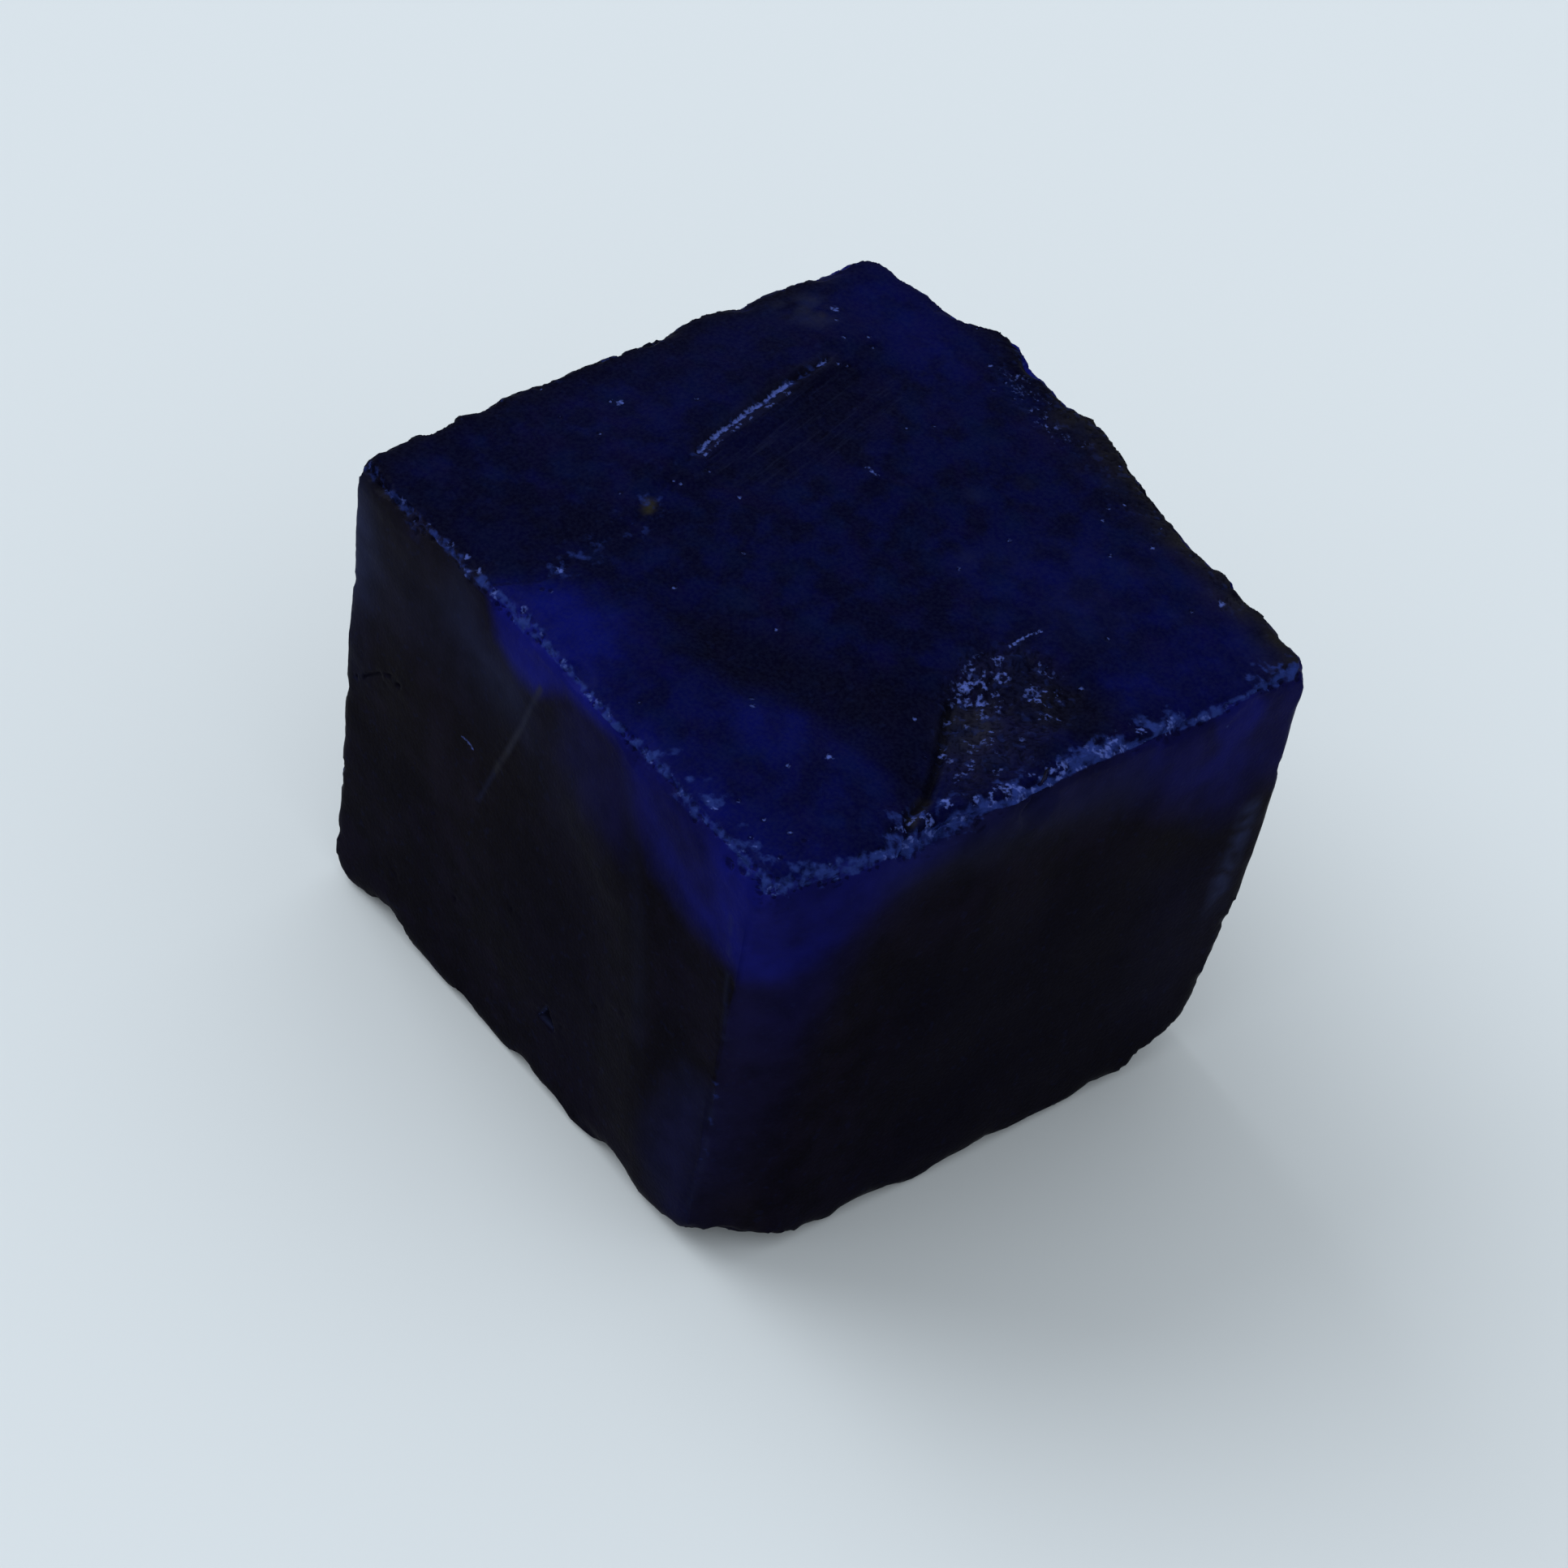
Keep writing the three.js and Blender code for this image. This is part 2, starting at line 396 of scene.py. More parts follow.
@dataclass(frozen=True)
class Within:
    """One mark, only as far as another one reaches."""

    mark: Mark
    limit: Mark

    def weight(self, surface: Surface) -> np.ndarray:
        """Return the product of the two weights."""
        return self.mark.weight(surface) * self.limit.weight(surface)


@dataclass(frozen=True)
class Patchy:
    """A mark that comes and goes in spots of a size; a larger share leaves more of it."""

    mark: Mark
    size: float
    share: float = 0.5
    seed: float = 0.0

    def weight(self, surface: Surface) -> np.ndarray:
        """Thin the mark out in spots.

        Args:
            surface: The surface.

        Returns:
            The mark's strength where it is left.
        """
        weights = self.mark.weight(surface)
        for index in np.flatnonzero(weights > 0.0):
            height = noise.noise(Vector(surface.points[index] / self.size + self.seed))
            weights[index] *= eased(height, PATCH_EDGE[0] - self.share, PATCH_EDGE[1] - self.share)
        return weights


@dataclass(frozen=True)
class Chips:
    """Shell-shaped chips struck off along one kind of edge, each the hollow that a ball leaves.

    Each ball's radius and bite are drawn between two bounds, and its middle lies outside the stone. Points
    nearer than on_edge count as on the edge, and stone farther off than reach is left alone, both in
    millimetres. Tilt is how far a ball's way strays at random.
    """

    edge: Edge
    count: int
    radius: tuple[float, float]
    bite: tuple[float, float]
    deepest: float
    where: Mark = Everywhere()
    seed: int = 0
    on_edge: float = 0.02
    reach: float = 2.5
    tilt: float = 0.22

    def weight(self, surface: Surface) -> np.ndarray:
        """Strike the chips and measure how deep each point sinks.

        Args:
            surface: The surface.

        Returns:
            The depth of each point, as a share of the deepest chip.
        """
        dice = np.random.default_rng(self.seed)
        chance = np.where(surface.to_edge[self.edge] < self.on_edge, self.where.weight(surface), 0.0)
        struck = dice.choice(len(chance), self.count, p=chance / chance.sum())
        near = np.flatnonzero(surface.to_edge[self.edge] < self.reach)
        points, inwards = surface.points[near], surface.inwards[near]
        sunk = np.zeros(len(near))
        for index in struck:
            radius, bite = dice.uniform(*self.radius), dice.uniform(*self.bite)
            outward = -surface.inwards[index] + dice.normal(0.0, self.tilt, 3)
            outward /= np.linalg.norm(outward)
            gap = points - surface.points[index] - outward * (radius - bite)
            inside = np.flatnonzero((gap * gap).sum(axis=1) < radius * radius)
            gap = gap[inside]
            ahead = (gap * inwards[inside]).sum(axis=1)
            way_out = np.sqrt(ahead * ahead - (gap * gap).sum(axis=1) + radius * radius) - ahead
            sunk[inside] = np.maximum(sunk[inside], way_out)
        weights = np.zeros(len(surface.points))
        weights[near] = np.minimum(sunk / self.deepest, 1.0)
        return weights


# ------------------------------------------------------------------------------------------------
# Lines and areas of this crystal
# ------------------------------------------------------------------------------------------------

SCAR = ((-8.1, 5.3), (-7.9, 4.4), (-7.7, 3.3), (-7.45, 2.2), (-7.25, 1.2), (-6.95, 0.1), (-6.65, -0.9),
        (-6.35, -1.7))
SCAR_MIDDLE = SCAR[2:]
FRACTURE = ((-6.35, -1.7), (-6.0, -2.8), (-5.5, -3.7), (-5.0, -4.8), (-4.5, -5.7), (-4.4, -6.6),
            (-4.2, -7.6), (-3.9, -9.3), (-3.8, -10.2), (-4.5, -11.6))
CRUMBLED_FRACTURE = FRACTURE[3:8]
GROOVE = ((7.9, -1.6), (8.8, -2.5), (9.6, -3.4), (10.4, -4.3), (11.0, -5.1), (11.3, -6.0), (12.6, -6.9))
GROOVE_END = ((11.0, -5.1), (11.5, -6.0))
STRIATED = ((-5.8, -2.8), (-7.0, 0.1), (-8.0, 4.0), (-8.0, 7.0), (-5.0, 6.6), (-3.5, 2.9), (-3.6, -0.6))
PITTED = ((7.3, -1.4), (6.5, 0.1), (6.8, 2.0), (8.2, 2.4), (9.8, 2.4), (10.9, 0.6), (11.7, -1.6),
          (11.6, -3.8), (10.4, -3.9), (8.7, -2.8))
WHITE_PITS = ((6.7, 0.0), (7.0, 1.3), (8.5, 0.7), (9.0, -0.6), (8.0, -1.4))
FEW_WHITE_PITS = ((8.6, 1.3), (8.9, 2.2), (9.7, 1.9), (10.0, 1.1), (9.3, 0.6))
BROWN_PITS = ((8.2, -1.6), (8.6, -0.7), (9.7, -1.1), (10.2, -2.6), (9.2, -2.8))
FROSTED_BACK = ((-7.2, 12.8), (-5.4, 10.8), (-3.4, 10.1), (0.0, 9.9), (3.2, 9.4), (6.5, 9.8), (9.5, 9.2),
                (9.5, 12.8))
VALLEY = ((5.4, -5.9), (6.7, -5.8), (7.8, -5.6), (9.3, -5.2), (10.3, -4.9))
HOLLOW = ((9.1, 0.8), (9.0, 1.9), (9.6, 3.0), (11.4, 2.7), (11.6, 1.4), (10.4, 0.4))
BACK_MIDDLE = ((2.6, 2.8), (3.8, 7.4), (7.8, 9.6), (10.0, 8.5), (8.3, 3.7), (5.8, 2.5))
PALE_OVAL = ((-11.8, 5.6), (-11.8, 6.8), (-11.1, 7.4), (-9.8, 7.0), (-9.7, 6.1), (-10.7, 5.4))
BROKEN_RIM = ((11.6, -6.4), (12.0, -5.0), (12.2, -3.2), (12.4, -1.2), (12.4, 1.0), (12.4, 2.6), (12.5, 4.4))
CORNER_RIM = ((12.2, 8.4), (12.5, 9.7))
CORNER_CRUMBS = ((4.5, -11.6), (7.4, -11.4), (9.9, -11.3), (11.3, -10.9), (11.9, -9.4))
FRONT_RIM = ((-11.5, -12.1), (-6.0, -11.9), (-4.5, -11.6), (0.0, -11.9), (12.0, -12.0))
RIGHT_RIM = ((12.2, -11.5), (12.5, 0.0), (12.6, 9.5))
LEFT_RIM = ((-12.7, -12.0), (-12.9, 0.0), (-12.7, 12.0))
BACK_RIM = ((-12.5, 12.2), (0.0, 11.9), (12.3, 10.6))

FLECKS = (
    (-10.2, -2.8), (-8.9, -4.2), (-10.4, -4.8), (-12.2, -4.4), (-8.6, -0.2), (-5.2, -3.3), (-5.4, -3.5),
    (-5.4, -2.0), (-5.9, -5.4), (-3.4, -10.4), (-3.2, -10.2), (-1.3, -3.5), (2.3, -4.8), (-1.2, -6.5),
    (4.5, -7.4), (4.8, -7.6), (7.7, -8.3), (-3.7, -1.9), (-3.4, 6.5), (-3.7, 5.5), (2.7, 5.1),
    (5.1, 7.7), (5.5, 9.3), (3.0, 2.6), (8.7, 8.4), (8.3, 4.9), (-9.8, 7.0), (-8.8, 6.6), (-8.5, 7.5),
    (-8.0, 7.3), (-7.5, 5.8), (-7.7, 5.5), (-5.2, 10.6), (-7.2, 11.6), (1.5, 11.2), (-4.0, 9.8),
    (-4.2, 10.5), (-4.3, 11.2), (-3.3, 10.2), (-2.5, 10.3), (-1.5, 10.2), (0.0, 10.7), (3.5, 8.7),
    (3.1, 9.3), (3.2, 10.0), (4.8, 10.3), (9.2, 1.5), (9.7, 1.2), (9.6, 2.7), (10.4, 1.1), (7.6, -11.5),
    (8.1, -10.6), (9.2, -10.4), (9.6, -11.2), (10.1, -10.0), (10.6, -9.8), (10.8, -10.9), (2.8, -10.8),
    (8.0, -3.2), (10.4, -2.7), (9.6, -1.2), (9.5, -3.2), (9.5, -3.9),
)
BRIGHT_FLECKS = ((-9.9, -2.6), (-3.9, -9.3), (8.0, -6.8), (-10.4, 7.4), (8.9, 9.6), (11.4, -4.6),
                 (7.5, -0.7), (8.3, -0.6))
RIM_BEADS = ((-6.87, -11.8), (-6.1, -11.65), (-5.4, -11.6), (-3.0, -11.45), (-0.2, -11.8), (8.0, -11.5),
             (10.0, -11.3))
RUST_SPOT = ((-5.0, -4.8), (-4.7, -5.1))
SCRATCHES = (
    Line(TOP, ((6.9, 1.7), (6.85, 2.4), (6.9, 3.1)), 0.14, 0.75),
    Line(TOP, ((-2.7, 2.95), (-2.2, 3.0)), 0.14, 0.8),
    Line(FRONT, ((-4.8, 12.5), (-4.2, 12.4)), 0.16, 0.6),
)
PALE_LINE = ((-0.9, 18.0), (-1.3, 16.9), (-1.8, 15.3), (-2.35, 13.8), (-2.9, 12.4), (-3.6, 10.4))
PALE_BAND = ((4.1, 18.1), (5.1, 16.0), (5.9, 13.6), (6.4, 10.9), (6.8, 8.0))
CREASE = ((10.3, 17.2), (10.6, 14.8), (10.8, 11.7))
LOW_CREASE = ((10.7, 9.2), (10.6, 7.2), (10.6, 5.6), (10.2, 2.0))
SOFT_CREASE = ((-10.8, 18.0), (-10.6, 13.0), (-10.4, 8.0), (-10.2, 4.5))
CRACK = ((-10.9, 10.4), (-10.4, 10.9), (-9.7, 11.55), (-9.0, 12.0), (-8.45, 12.03))
DENTS = ((-5.9, 7.8), (-7.8, 3.0), (-4.3, 4.8), (-1.0, 7.3), (4.1, 6.9), (5.8, 8.2), (2.3, 4.1))
PIT = ((1.1, 3.6), (1.45, 4.4), (1.9, 3.55))
GREY_BEVEL = ((10.0, 17.0), (9.8, 14.8), (9.3, 12.9), (9.2, 10.0), (8.9, 7.1), (8.4, 4.6), (7.9, 3.5))
PALE_STREAK = ((9.2, 13.4), (9.1, 11.5), (8.8, 10.0), (8.9, 8.4))
FAR_SIDES = Together((Side(LEFT), Side(BACK)))
FAR_RIMS = Together((Line(TOP, LEFT_RIM, 4.4), Line(TOP, BACK_RIM, 4.4)))
NEAR_RIMS = Together((Line(TOP, FRONT_RIM, 1.6), Line(TOP, RIGHT_RIM, 1.6)))


# ------------------------------------------------------------------------------------------------
# Relief
# ------------------------------------------------------------------------------------------------


class Grain(Enum):
    """What relief is pressed with: Blender's texture, and the height in it that is left uncut."""

    CLOUDS = ("CLOUDS", 0.0)
    SHELLS = ("VORONOI", 1.0)


LEAST_CARVED = 0.004  # the weakest weight that is carved
LEAST_SOFTENED = 0.01  # the weakest weight that is softened
LEAST_REFINED = 0.05  # the weakest weight whose faces are cut finer


@dataclass(frozen=True)
class Relief:
    """One layer of relief, pressed in along the evened-out inward ways of the surface.

    Where the surface folds under an edge, such a way can point out of the stone, and the points there are
    raised instead. Depth and size are in millimetres, and turn is in degrees about the upright axis.
    """

    name: str
    mark: Mark
    depth: float
    grain: Union[Grain, None] = None
    size: float = 1.0
    stretch: Triple = (1.0, 1.0, 1.0)
    turn: float = 0.0
    contrast: float = 1.0

    def carve(self, stone: bpy.types.Object, surface: Surface) -> None:
        """Press the layer into the stone.

        Args:
            stone: The stone to carve.
            surface: Its surface before any layer was pressed.
        """
        group = stone.vertex_groups.new(name=self.name)
        weights = np.clip(self.mark.weight(surface), 0.0, 1.0)
        for index in np.flatnonzero(weights > LEAST_CARVED):
            group.add([int(index)], float(weights[index]), "REPLACE")
        stone.data.normals_split_custom_set_from_vertices(surface.inwards)
        modifier = stone.modifiers.new(self.name, "DISPLACE")
        modifier.vertex_group = group.name
        modifier.direction = "CUSTOM_NORMAL"
        modifier.mid_level = self.grain.value[1] if self.grain else 0.0
        modifier.strength = self.depth * MM * (-1.0 if modifier.mid_level == 1.0 else 1.0)
        guide = self._textured(modifier) if self.grain else None
        apply_modifier(stone, modifier)
        stone.vertex_groups.clear()
        if guide:
            bpy.data.objects.remove(guide)

    def _textured(self, modifier: bpy.types.Modifier) -> bpy.types.Object:
        """Give the modifier its texture.

        Args:
            modifier: The modifier.

        Returns:
            The empty that scales and turns the texture, which is needed until the modifier is applied.
        """
        texture = bpy.data.textures.new(self.name, self.grain.value[0])
        texture.noise_scale = 1.0
        texture.contrast = self.contrast
        bpy.ops.object.empty_add(rotation=(0.0, 0.0, math.radians(self.turn)))
        guide = bpy.context.object
        guide.scale = [self.size * MM * share for share in self.stretch]
        bpy.context.view_layer.update()
        modifier.texture = texture
        modifier.texture_coords = "OBJECT"
        modifier.texture_coords_object = guide
        return guide


def apply_modifier(piece: bpy.types.Object, modifier: bpy.types.Modifier) -> None:
    """Make one modifier part of a piece's mesh."""
    choose(piece)
    bpy.ops.object.modifier_apply(modifier=modifier.name)


def choose(piece: bpy.types.Object) -> None:
    """Select one object alone and make it the active one.

    Args:
        piece: The object.
    """
    bpy.ops.object.select_all(action="DESELECT")
    piece.select_set(True)
    bpy.context.view_layer.objects.active = piece


TOP_STRIA = 16.5  # the way of the top's fine lines, in degrees from +Y
RELIEFS = (
    Relief("rim facets", Chips(RIM, 60, (0.8, 2.0), (0.02, 0.06), 0.5, seed=1), 0.5),
    Relief("rim chips", Chips(RIM, 120, (0.25, 0.7), (0.02, 0.09), 0.4, seed=2), 0.4),
    Relief("rim crumbs", Chips(RIM, 520, (0.12, 0.3), (0.02, 0.07), 0.2, seed=3), 0.2),
    Relief("rim notches", Chips(RIM, 170, (0.14, 0.36), (0.07, 0.16), 0.3, FAR_RIMS, 7), 0.3),
    Relief("broken rim", Chips(RIM, 60, (0.35, 0.9), (0.06, 0.17), 0.4, Line(TOP, BROKEN_RIM, 1.6), 4),
           0.4),
    Relief("upright chips", Chips(UPRIGHT, 120, (0.3, 1.2), (0.03, 0.12), 0.4, FAR_SIDES, 5), 0.4),
    Relief("foot chips", Chips(FOOT, 150, (0.5, 2.0), (0.03, 0.14), 0.5, seed=6), 0.5),
    Relief("scar", Line(TOP, SCAR, 0.26), 0.14),
    Relief("fracture", Line(TOP, FRACTURE, 0.26), 0.05),
    Relief("groove", Line(TOP, GROOVE, 0.3), 0.2),
    Relief("striae", Area(TOP, STRIATED, 0.8), 0.06, Grain.CLOUDS, 0.3, (1.0, 8.0, 1.0), TOP_STRIA, 2.0),
    Relief("pitted patch", Area(TOP, PITTED, 0.6), 0.07, Grain.SHELLS, 0.5),
    Relief("rough patch", Area(TOP, PITTED, 0.5), 0.13, Grain.CLOUDS, 0.34, contrast=2.0),
    Relief("pits", Dots(TOP, FLECKS, 0.22), 0.04),
    Relief("frosted back", Area(TOP, FROSTED_BACK, 0.8), 0.07, Grain.CLOUDS, 0.3, contrast=2.0),
    Relief("front ripples", Side(FRONT), 0.02, Grain.CLOUDS, 0.45, (2.4, 1.0, 0.8), contrast=1.5),
    Relief("front dents", Dots(FRONT, DENTS, 0.16), 0.05),
    Relief("crack", Patchy(Line(FRONT, CRACK, 0.18), 0.5, 0.6), 0.1),
    Relief("three-sided pit", Area(FRONT, PIT, 0.14), 0.2),
    Relief("side ripples", FAR_SIDES, 0.07, Grain.CLOUDS, 0.7, (1.0, 1.0, 3.0)),
    Relief("skin", Everywhere(), 0.03, Grain.CLOUDS, 0.5),
)
SOFTENED = (
    (Line(RIGHT, SOFT_CREASE, 2.4), 80),
    (Near((-12.6, 12.3, 19.9), 2.6), 30),
    (Near((12.1, -11.9, 20.0), 2.4), 40),
)
SPIKES = (13.0, 20.0)  # how sharp a point has to be to be worn off a little, and wholly
FINER = (
    Together((
        Side(TOP),
        Along(RIM, 1.4),
        Within(Along(UPRIGHT, 0.5), FAR_SIDES),
        Along(FOOT, 0.2),
        Line(FRONT, PALE_LINE, 0.4),
        Line(FRONT, CREASE + LOW_CREASE, 0.4),
        Line(FRONT, CRACK, 0.6),
        Dots(FRONT, DENTS, 0.5),
        Area(FRONT, PIT, 0.6),
        Together(SCRATCHES),
    )),
    Together((
        Along(RIM, 0.7),
        Line(TOP, BROKEN_RIM, 1.4),
        Line(TOP, SCAR, 0.8),
        Line(TOP, GROOVE, 0.6),
        Area(TOP, PITTED, 0.3),
        Dots(TOP, FLECKS + BRIGHT_FLECKS, 0.35),
        Line(FRONT, PALE_LINE, 0.3),
        Line(FRONT, CREASE + LOW_CREASE, 0.3),
        Line(FRONT, CRACK, 0.35),
        Area(FRONT, PIT, 0.4),
        Together(SCRATCHES),
    )),
)


# ------------------------------------------------------------------------------------------------
# Tints: what the finish reads from the surface, painted glow, shade, glints and sheen among them
# ------------------------------------------------------------------------------------------------

# Painted glow: the blue light that would shine out through the thin corners, edges and upper sides, laid
# into the colour.
GLOWS = (
    Area(TOP, ((-4.6, -12.6), (-4.0, -9.6), (-1.0, -8.3), (2.5, -8.5), (5.5, -6.8), (7.6, -5.2),
               (9.8, -5.5), (11.2, -6.2), (12.5, -8.0), (12.5, -12.6)), 0.9, 0.1),
    Area(TOP, ((-4.0, -11.4), (-2.9, -9.6), (-0.9, -9.2), (0.8, -10.2), (0.7, -11.3), (-0.5, -11.8)), 1.0,
         0.42),
    Line(TOP, ((-4.2, -11.6), (0.0, -11.8), (8.0, -11.6)), 1.0, 0.14),
    Area(TOP, ((4.4, -8.2), (4.9, -6.8), (6.0, -6.3), (7.2, -7.0), (7.0, -8.4), (5.6, -9.0)), 1.0, 0.2),
    Area(TOP, ((9.7, 3.3), (9.4, 6.7), (10.5, 9.1), (12.4, 9.6), (13.0, 7.7), (12.8, 4.5), (11.7, 3.2)),
         1.0, 0.18),
    Area(TOP, BACK_MIDDLE, 1.8, 0.1),
    Area(TOP, ((-12.6, 8.6), (-12.4, 11.6), (-9.3, 12.2), (-6.7, 11.4), (-4.9, 9.2), (-6.6, 7.9)), 1.2,
         0.14),
    Area(TOP, ((-11.3, -4.2), (-11.4, 4.3), (-9.3, 4.4), (-8.2, 0.8), (-7.6, -3.0), (-8.1, -6.1)), 1.4,
         0.04),
    Line(TOP, CORNER_CRUMBS, 1.4, 0.16),
    Area(FRONT, ((-4.6, 20.4), (-3.6, 18.1), (-2.2, 17.4), (-1.2, 17.6), (0.4, 19.0), (3.8, 19.3),
                 (3.8, 20.4)), 0.5, 0.72),
    Area(FRONT, ((0.6, 19.2), (0.6, 16.1), (2.4, 15.1), (4.8, 15.0), (4.6, 17.8), (3.5, 19.2)), 1.0, 0.14),
    Area(FRONT, ((3.6, 20.4), (3.8, 18.6), (5.2, 16.6), (6.2, 15.7), (8.4, 15.2), (10.6, 15.2),
                 (12.0, 15.0), (12.0, 20.4)), 0.7, 0.34),
    Line(FRONT, ((4.9, 18.8), (6.2, 17.4), (7.4, 16.6), (9.4, 16.0)), 0.8, 0.3),
    Area(FRONT, ((8.6, 20.4), (9.0, 18.0), (10.0, 15.8), (12.0, 15.2), (12.0, 20.4)), 0.8, 0.45),
    Area(FRONT, ((7.9, 4.8), (9.4, 8.6), (10.6, 8.6), (10.6, 1.0), (9.1, 1.0), (7.7, 2.8)), 1.0, 0.1),
    Area(RIGHT, ((-13.0, 15.0), (-11.2, 15.1), (-10.0, 15.8), (-8.8, 16.9), (-6.9, 18.2), (-5.0, 19.2),
                 (-5.0, 20.4), (-13.0, 20.4)), 1.0, 0.47),
    Area(RIGHT, ((-13.0, 11.5), (-10.5, 12.0), (-8.0, 15.6), (-6.0, 18.4), (-13.0, 17.0)), 1.6, 0.08),
    Area(RIGHT, ((-13.0, 4.0), (-11.0, 4.0), (-9.6, 12.0), (-8.5, 16.4), (-13.0, 15.5)), 1.6, 0.1),
    Area(RIGHT, ((1.0, 20.4), (3.2, 18.4), (5.6, 16.4), (8.0, 15.0), (11.6, 14.4), (11.6, 20.4)), 1.3, 0.3),
    Patchy(Area(RIGHT, ((3.0, 20.4), (4.2, 18.0), (6.6, 16.6), (9.0, 16.0), (11.6, 16.2), (11.6, 20.4)),
                1.3, 0.4), 2.2, 0.6, 8.8),
    Line(RIGHT, ((-6.5, 19.4), (-2.0, 19.2), (2.4, 18.4), (5.0, 16.4), (8.0, 14.2)), 1.9, 0.18),
    Area(RIGHT, ((5.0, 12.0), (8.1, 12.0), (10.0, 8.0), (8.0, 2.7), (5.6, 4.0)), 1.6, 0.03),
    Line(RIGHT, ((-12.6, 15.5), (-11.0, 15.7), (-9.6, 16.5)), 0.9, 0.3),
    Area(BACK, ((-12.8, 15.5), (-10.5, 16.4), (-7.0, 18.6), (-2.0, 19.0), (-2.0, 20.4), (-12.8, 20.4)),
         0.9, 0.7),
    Area(BACK, ((5.0, 20.4), (6.2, 18.6), (9.0, 16.0), (12.6, 14.0), (12.6, 20.4)), 1.1, 0.5),
    Area(LEFT, ((3.0, 20.4), (5.0, 18.8), (8.2, 17.8), (10.4, 15.0), (12.6, 13.0), (12.6, 20.4)), 0.9,
         0.65),
    Area(LEFT, ((-12.6, 2.0), (-8.0, 1.5), (-5.0, 4.2), (-9.5, 6.0), (-12.6, 7.0)), 1.5, 0.15),
)
# Dark zones of the body, and painted shade in the recesses: the valley, hollow, groove, dents, crack and
# pit are darkened.
DARK_ZONES_AND_SHADE = (
    Area(TOP, ((-9.4, -12.0), (-8.6, -9.2), (-6.5, -7.2), (-4.9, -6.3), (-4.3, -9.1), (-5.0, -12.0)), 0.7,
         0.4),
    Area(TOP, STRIATED, 0.9, 0.45),
    Area(TOP, ((-12.4, -1.0), (-12.2, 5.2), (-9.2, 6.2), (-8.4, 2.0), (-9.6, -1.6)), 1.2, 0.3),
    Area(TOP, ((-0.6, -7.3), (0.6, -6.1), (3.5, -4.5), (5.5, -3.6), (7.2, -1.8), (8.7, -2.6),
               (10.3, -4.5), (10.8, -5.9), (8.2, -5.3), (5.7, -5.5), (3.9, -7.8), (1.9, -8.1)), 0.9,
         0.72),
    Line(TOP, VALLEY, 0.6, 0.6),
    Area(TOP, HOLLOW, 0.5, 0.75),
    Line(TOP, GROOVE, 0.4, 0.9),
    Within(Along(RIM, 1.7, 0.95), FAR_RIMS),
    Line(TOP, FRONT_RIM, 0.9, 0.25),
    Area(FRONT, ((1.5, 15.0), (5.6, 13.6), (6.6, 9.0), (6.0, 3.0), (2.0, 2.0), (-2.0, 8.0)), 2.4, 0.45),
    Area(RIGHT, ((-6.5, 13.0), (3.0, 14.5), (6.8, 12.0), (9.4, 7.0), (8.4, 1.0), (-5.0, 1.0)), 2.6, 0.8),
    Dots(FRONT, DENTS, 0.2, 0.5),
    Line(FRONT, CRACK, 0.24, 0.8),
    Area(FRONT, PIT, 0.16, 0.9),
)
EARTHS = (
    Area(TOP, PITTED, 0.8, 0.11),
    Area(TOP, BROWN_PITS, 0.7, 0.34),
    Line(TOP, GROOVE_END, 0.4, 0.3),
    Patchy(Area(TOP, FROSTED_BACK, 0.9, 0.12), 1.5, 0.4, 3.1),
    Within(Along(RIM, 2.4, 0.3), Line(TOP, BACK_RIM[1:], 3.0)),
    Patchy(Area(TOP, PALE_OVAL, 0.5, 0.12), 0.5, 0.5, 2.7),
    Dots(TOP, ((-10.3, 6.7),), 0.34, 0.3),
    Line(TOP, SCAR, 0.7, 0.12),
    Line(FRONT, PALE_LINE[:5], 0.22, 0.28),
)
# A grey skin on the sides: partly the stone's own brownish-grey tone, partly a painted sheen, the dull grey
# reflection of the bright floor and sky.
FILM_AND_SHEEN_MARKS = (
    Side(RIGHT, 0.06),
    Side(FRONT, 0.045),
    Line(RIGHT, GREY_BEVEL, 1.0, 0.03),
    Area(FRONT, ((-11.0, 20.4), (-10.8, 18.6), (-9.4, 17.4), (-7.0, 17.2), (-5.4, 18.6), (-5.2, 20.4)),
         1.0, 0.1),
    Area(FRONT, ((-10.2, 17.0), (-9.8, 10.0), (-4.0, 7.0), (-2.0, 13.0), (-5.0, 17.6)), 2.4, 0.05),
    Patchy(Area(BACK, ((-3.5, 2.0), (-3.2, 9.5), (-1.0, 12.0), (3.5, 14.0), (4.2, 6.0), (3.4, 2.0)), 1.6,
                0.26), 2.2, 0.6, 5.2),
    Patchy(Area(LEFT, ((-6.0, 9.0), (-3.6, 13.0), (-2.0, 16.5), (3.0, 14.5), (6.0, 16.0), (7.6, 10.5),
                       (2.0, 7.6)), 2.2, 0.26), 2.4, 0.6, 6.4),
)
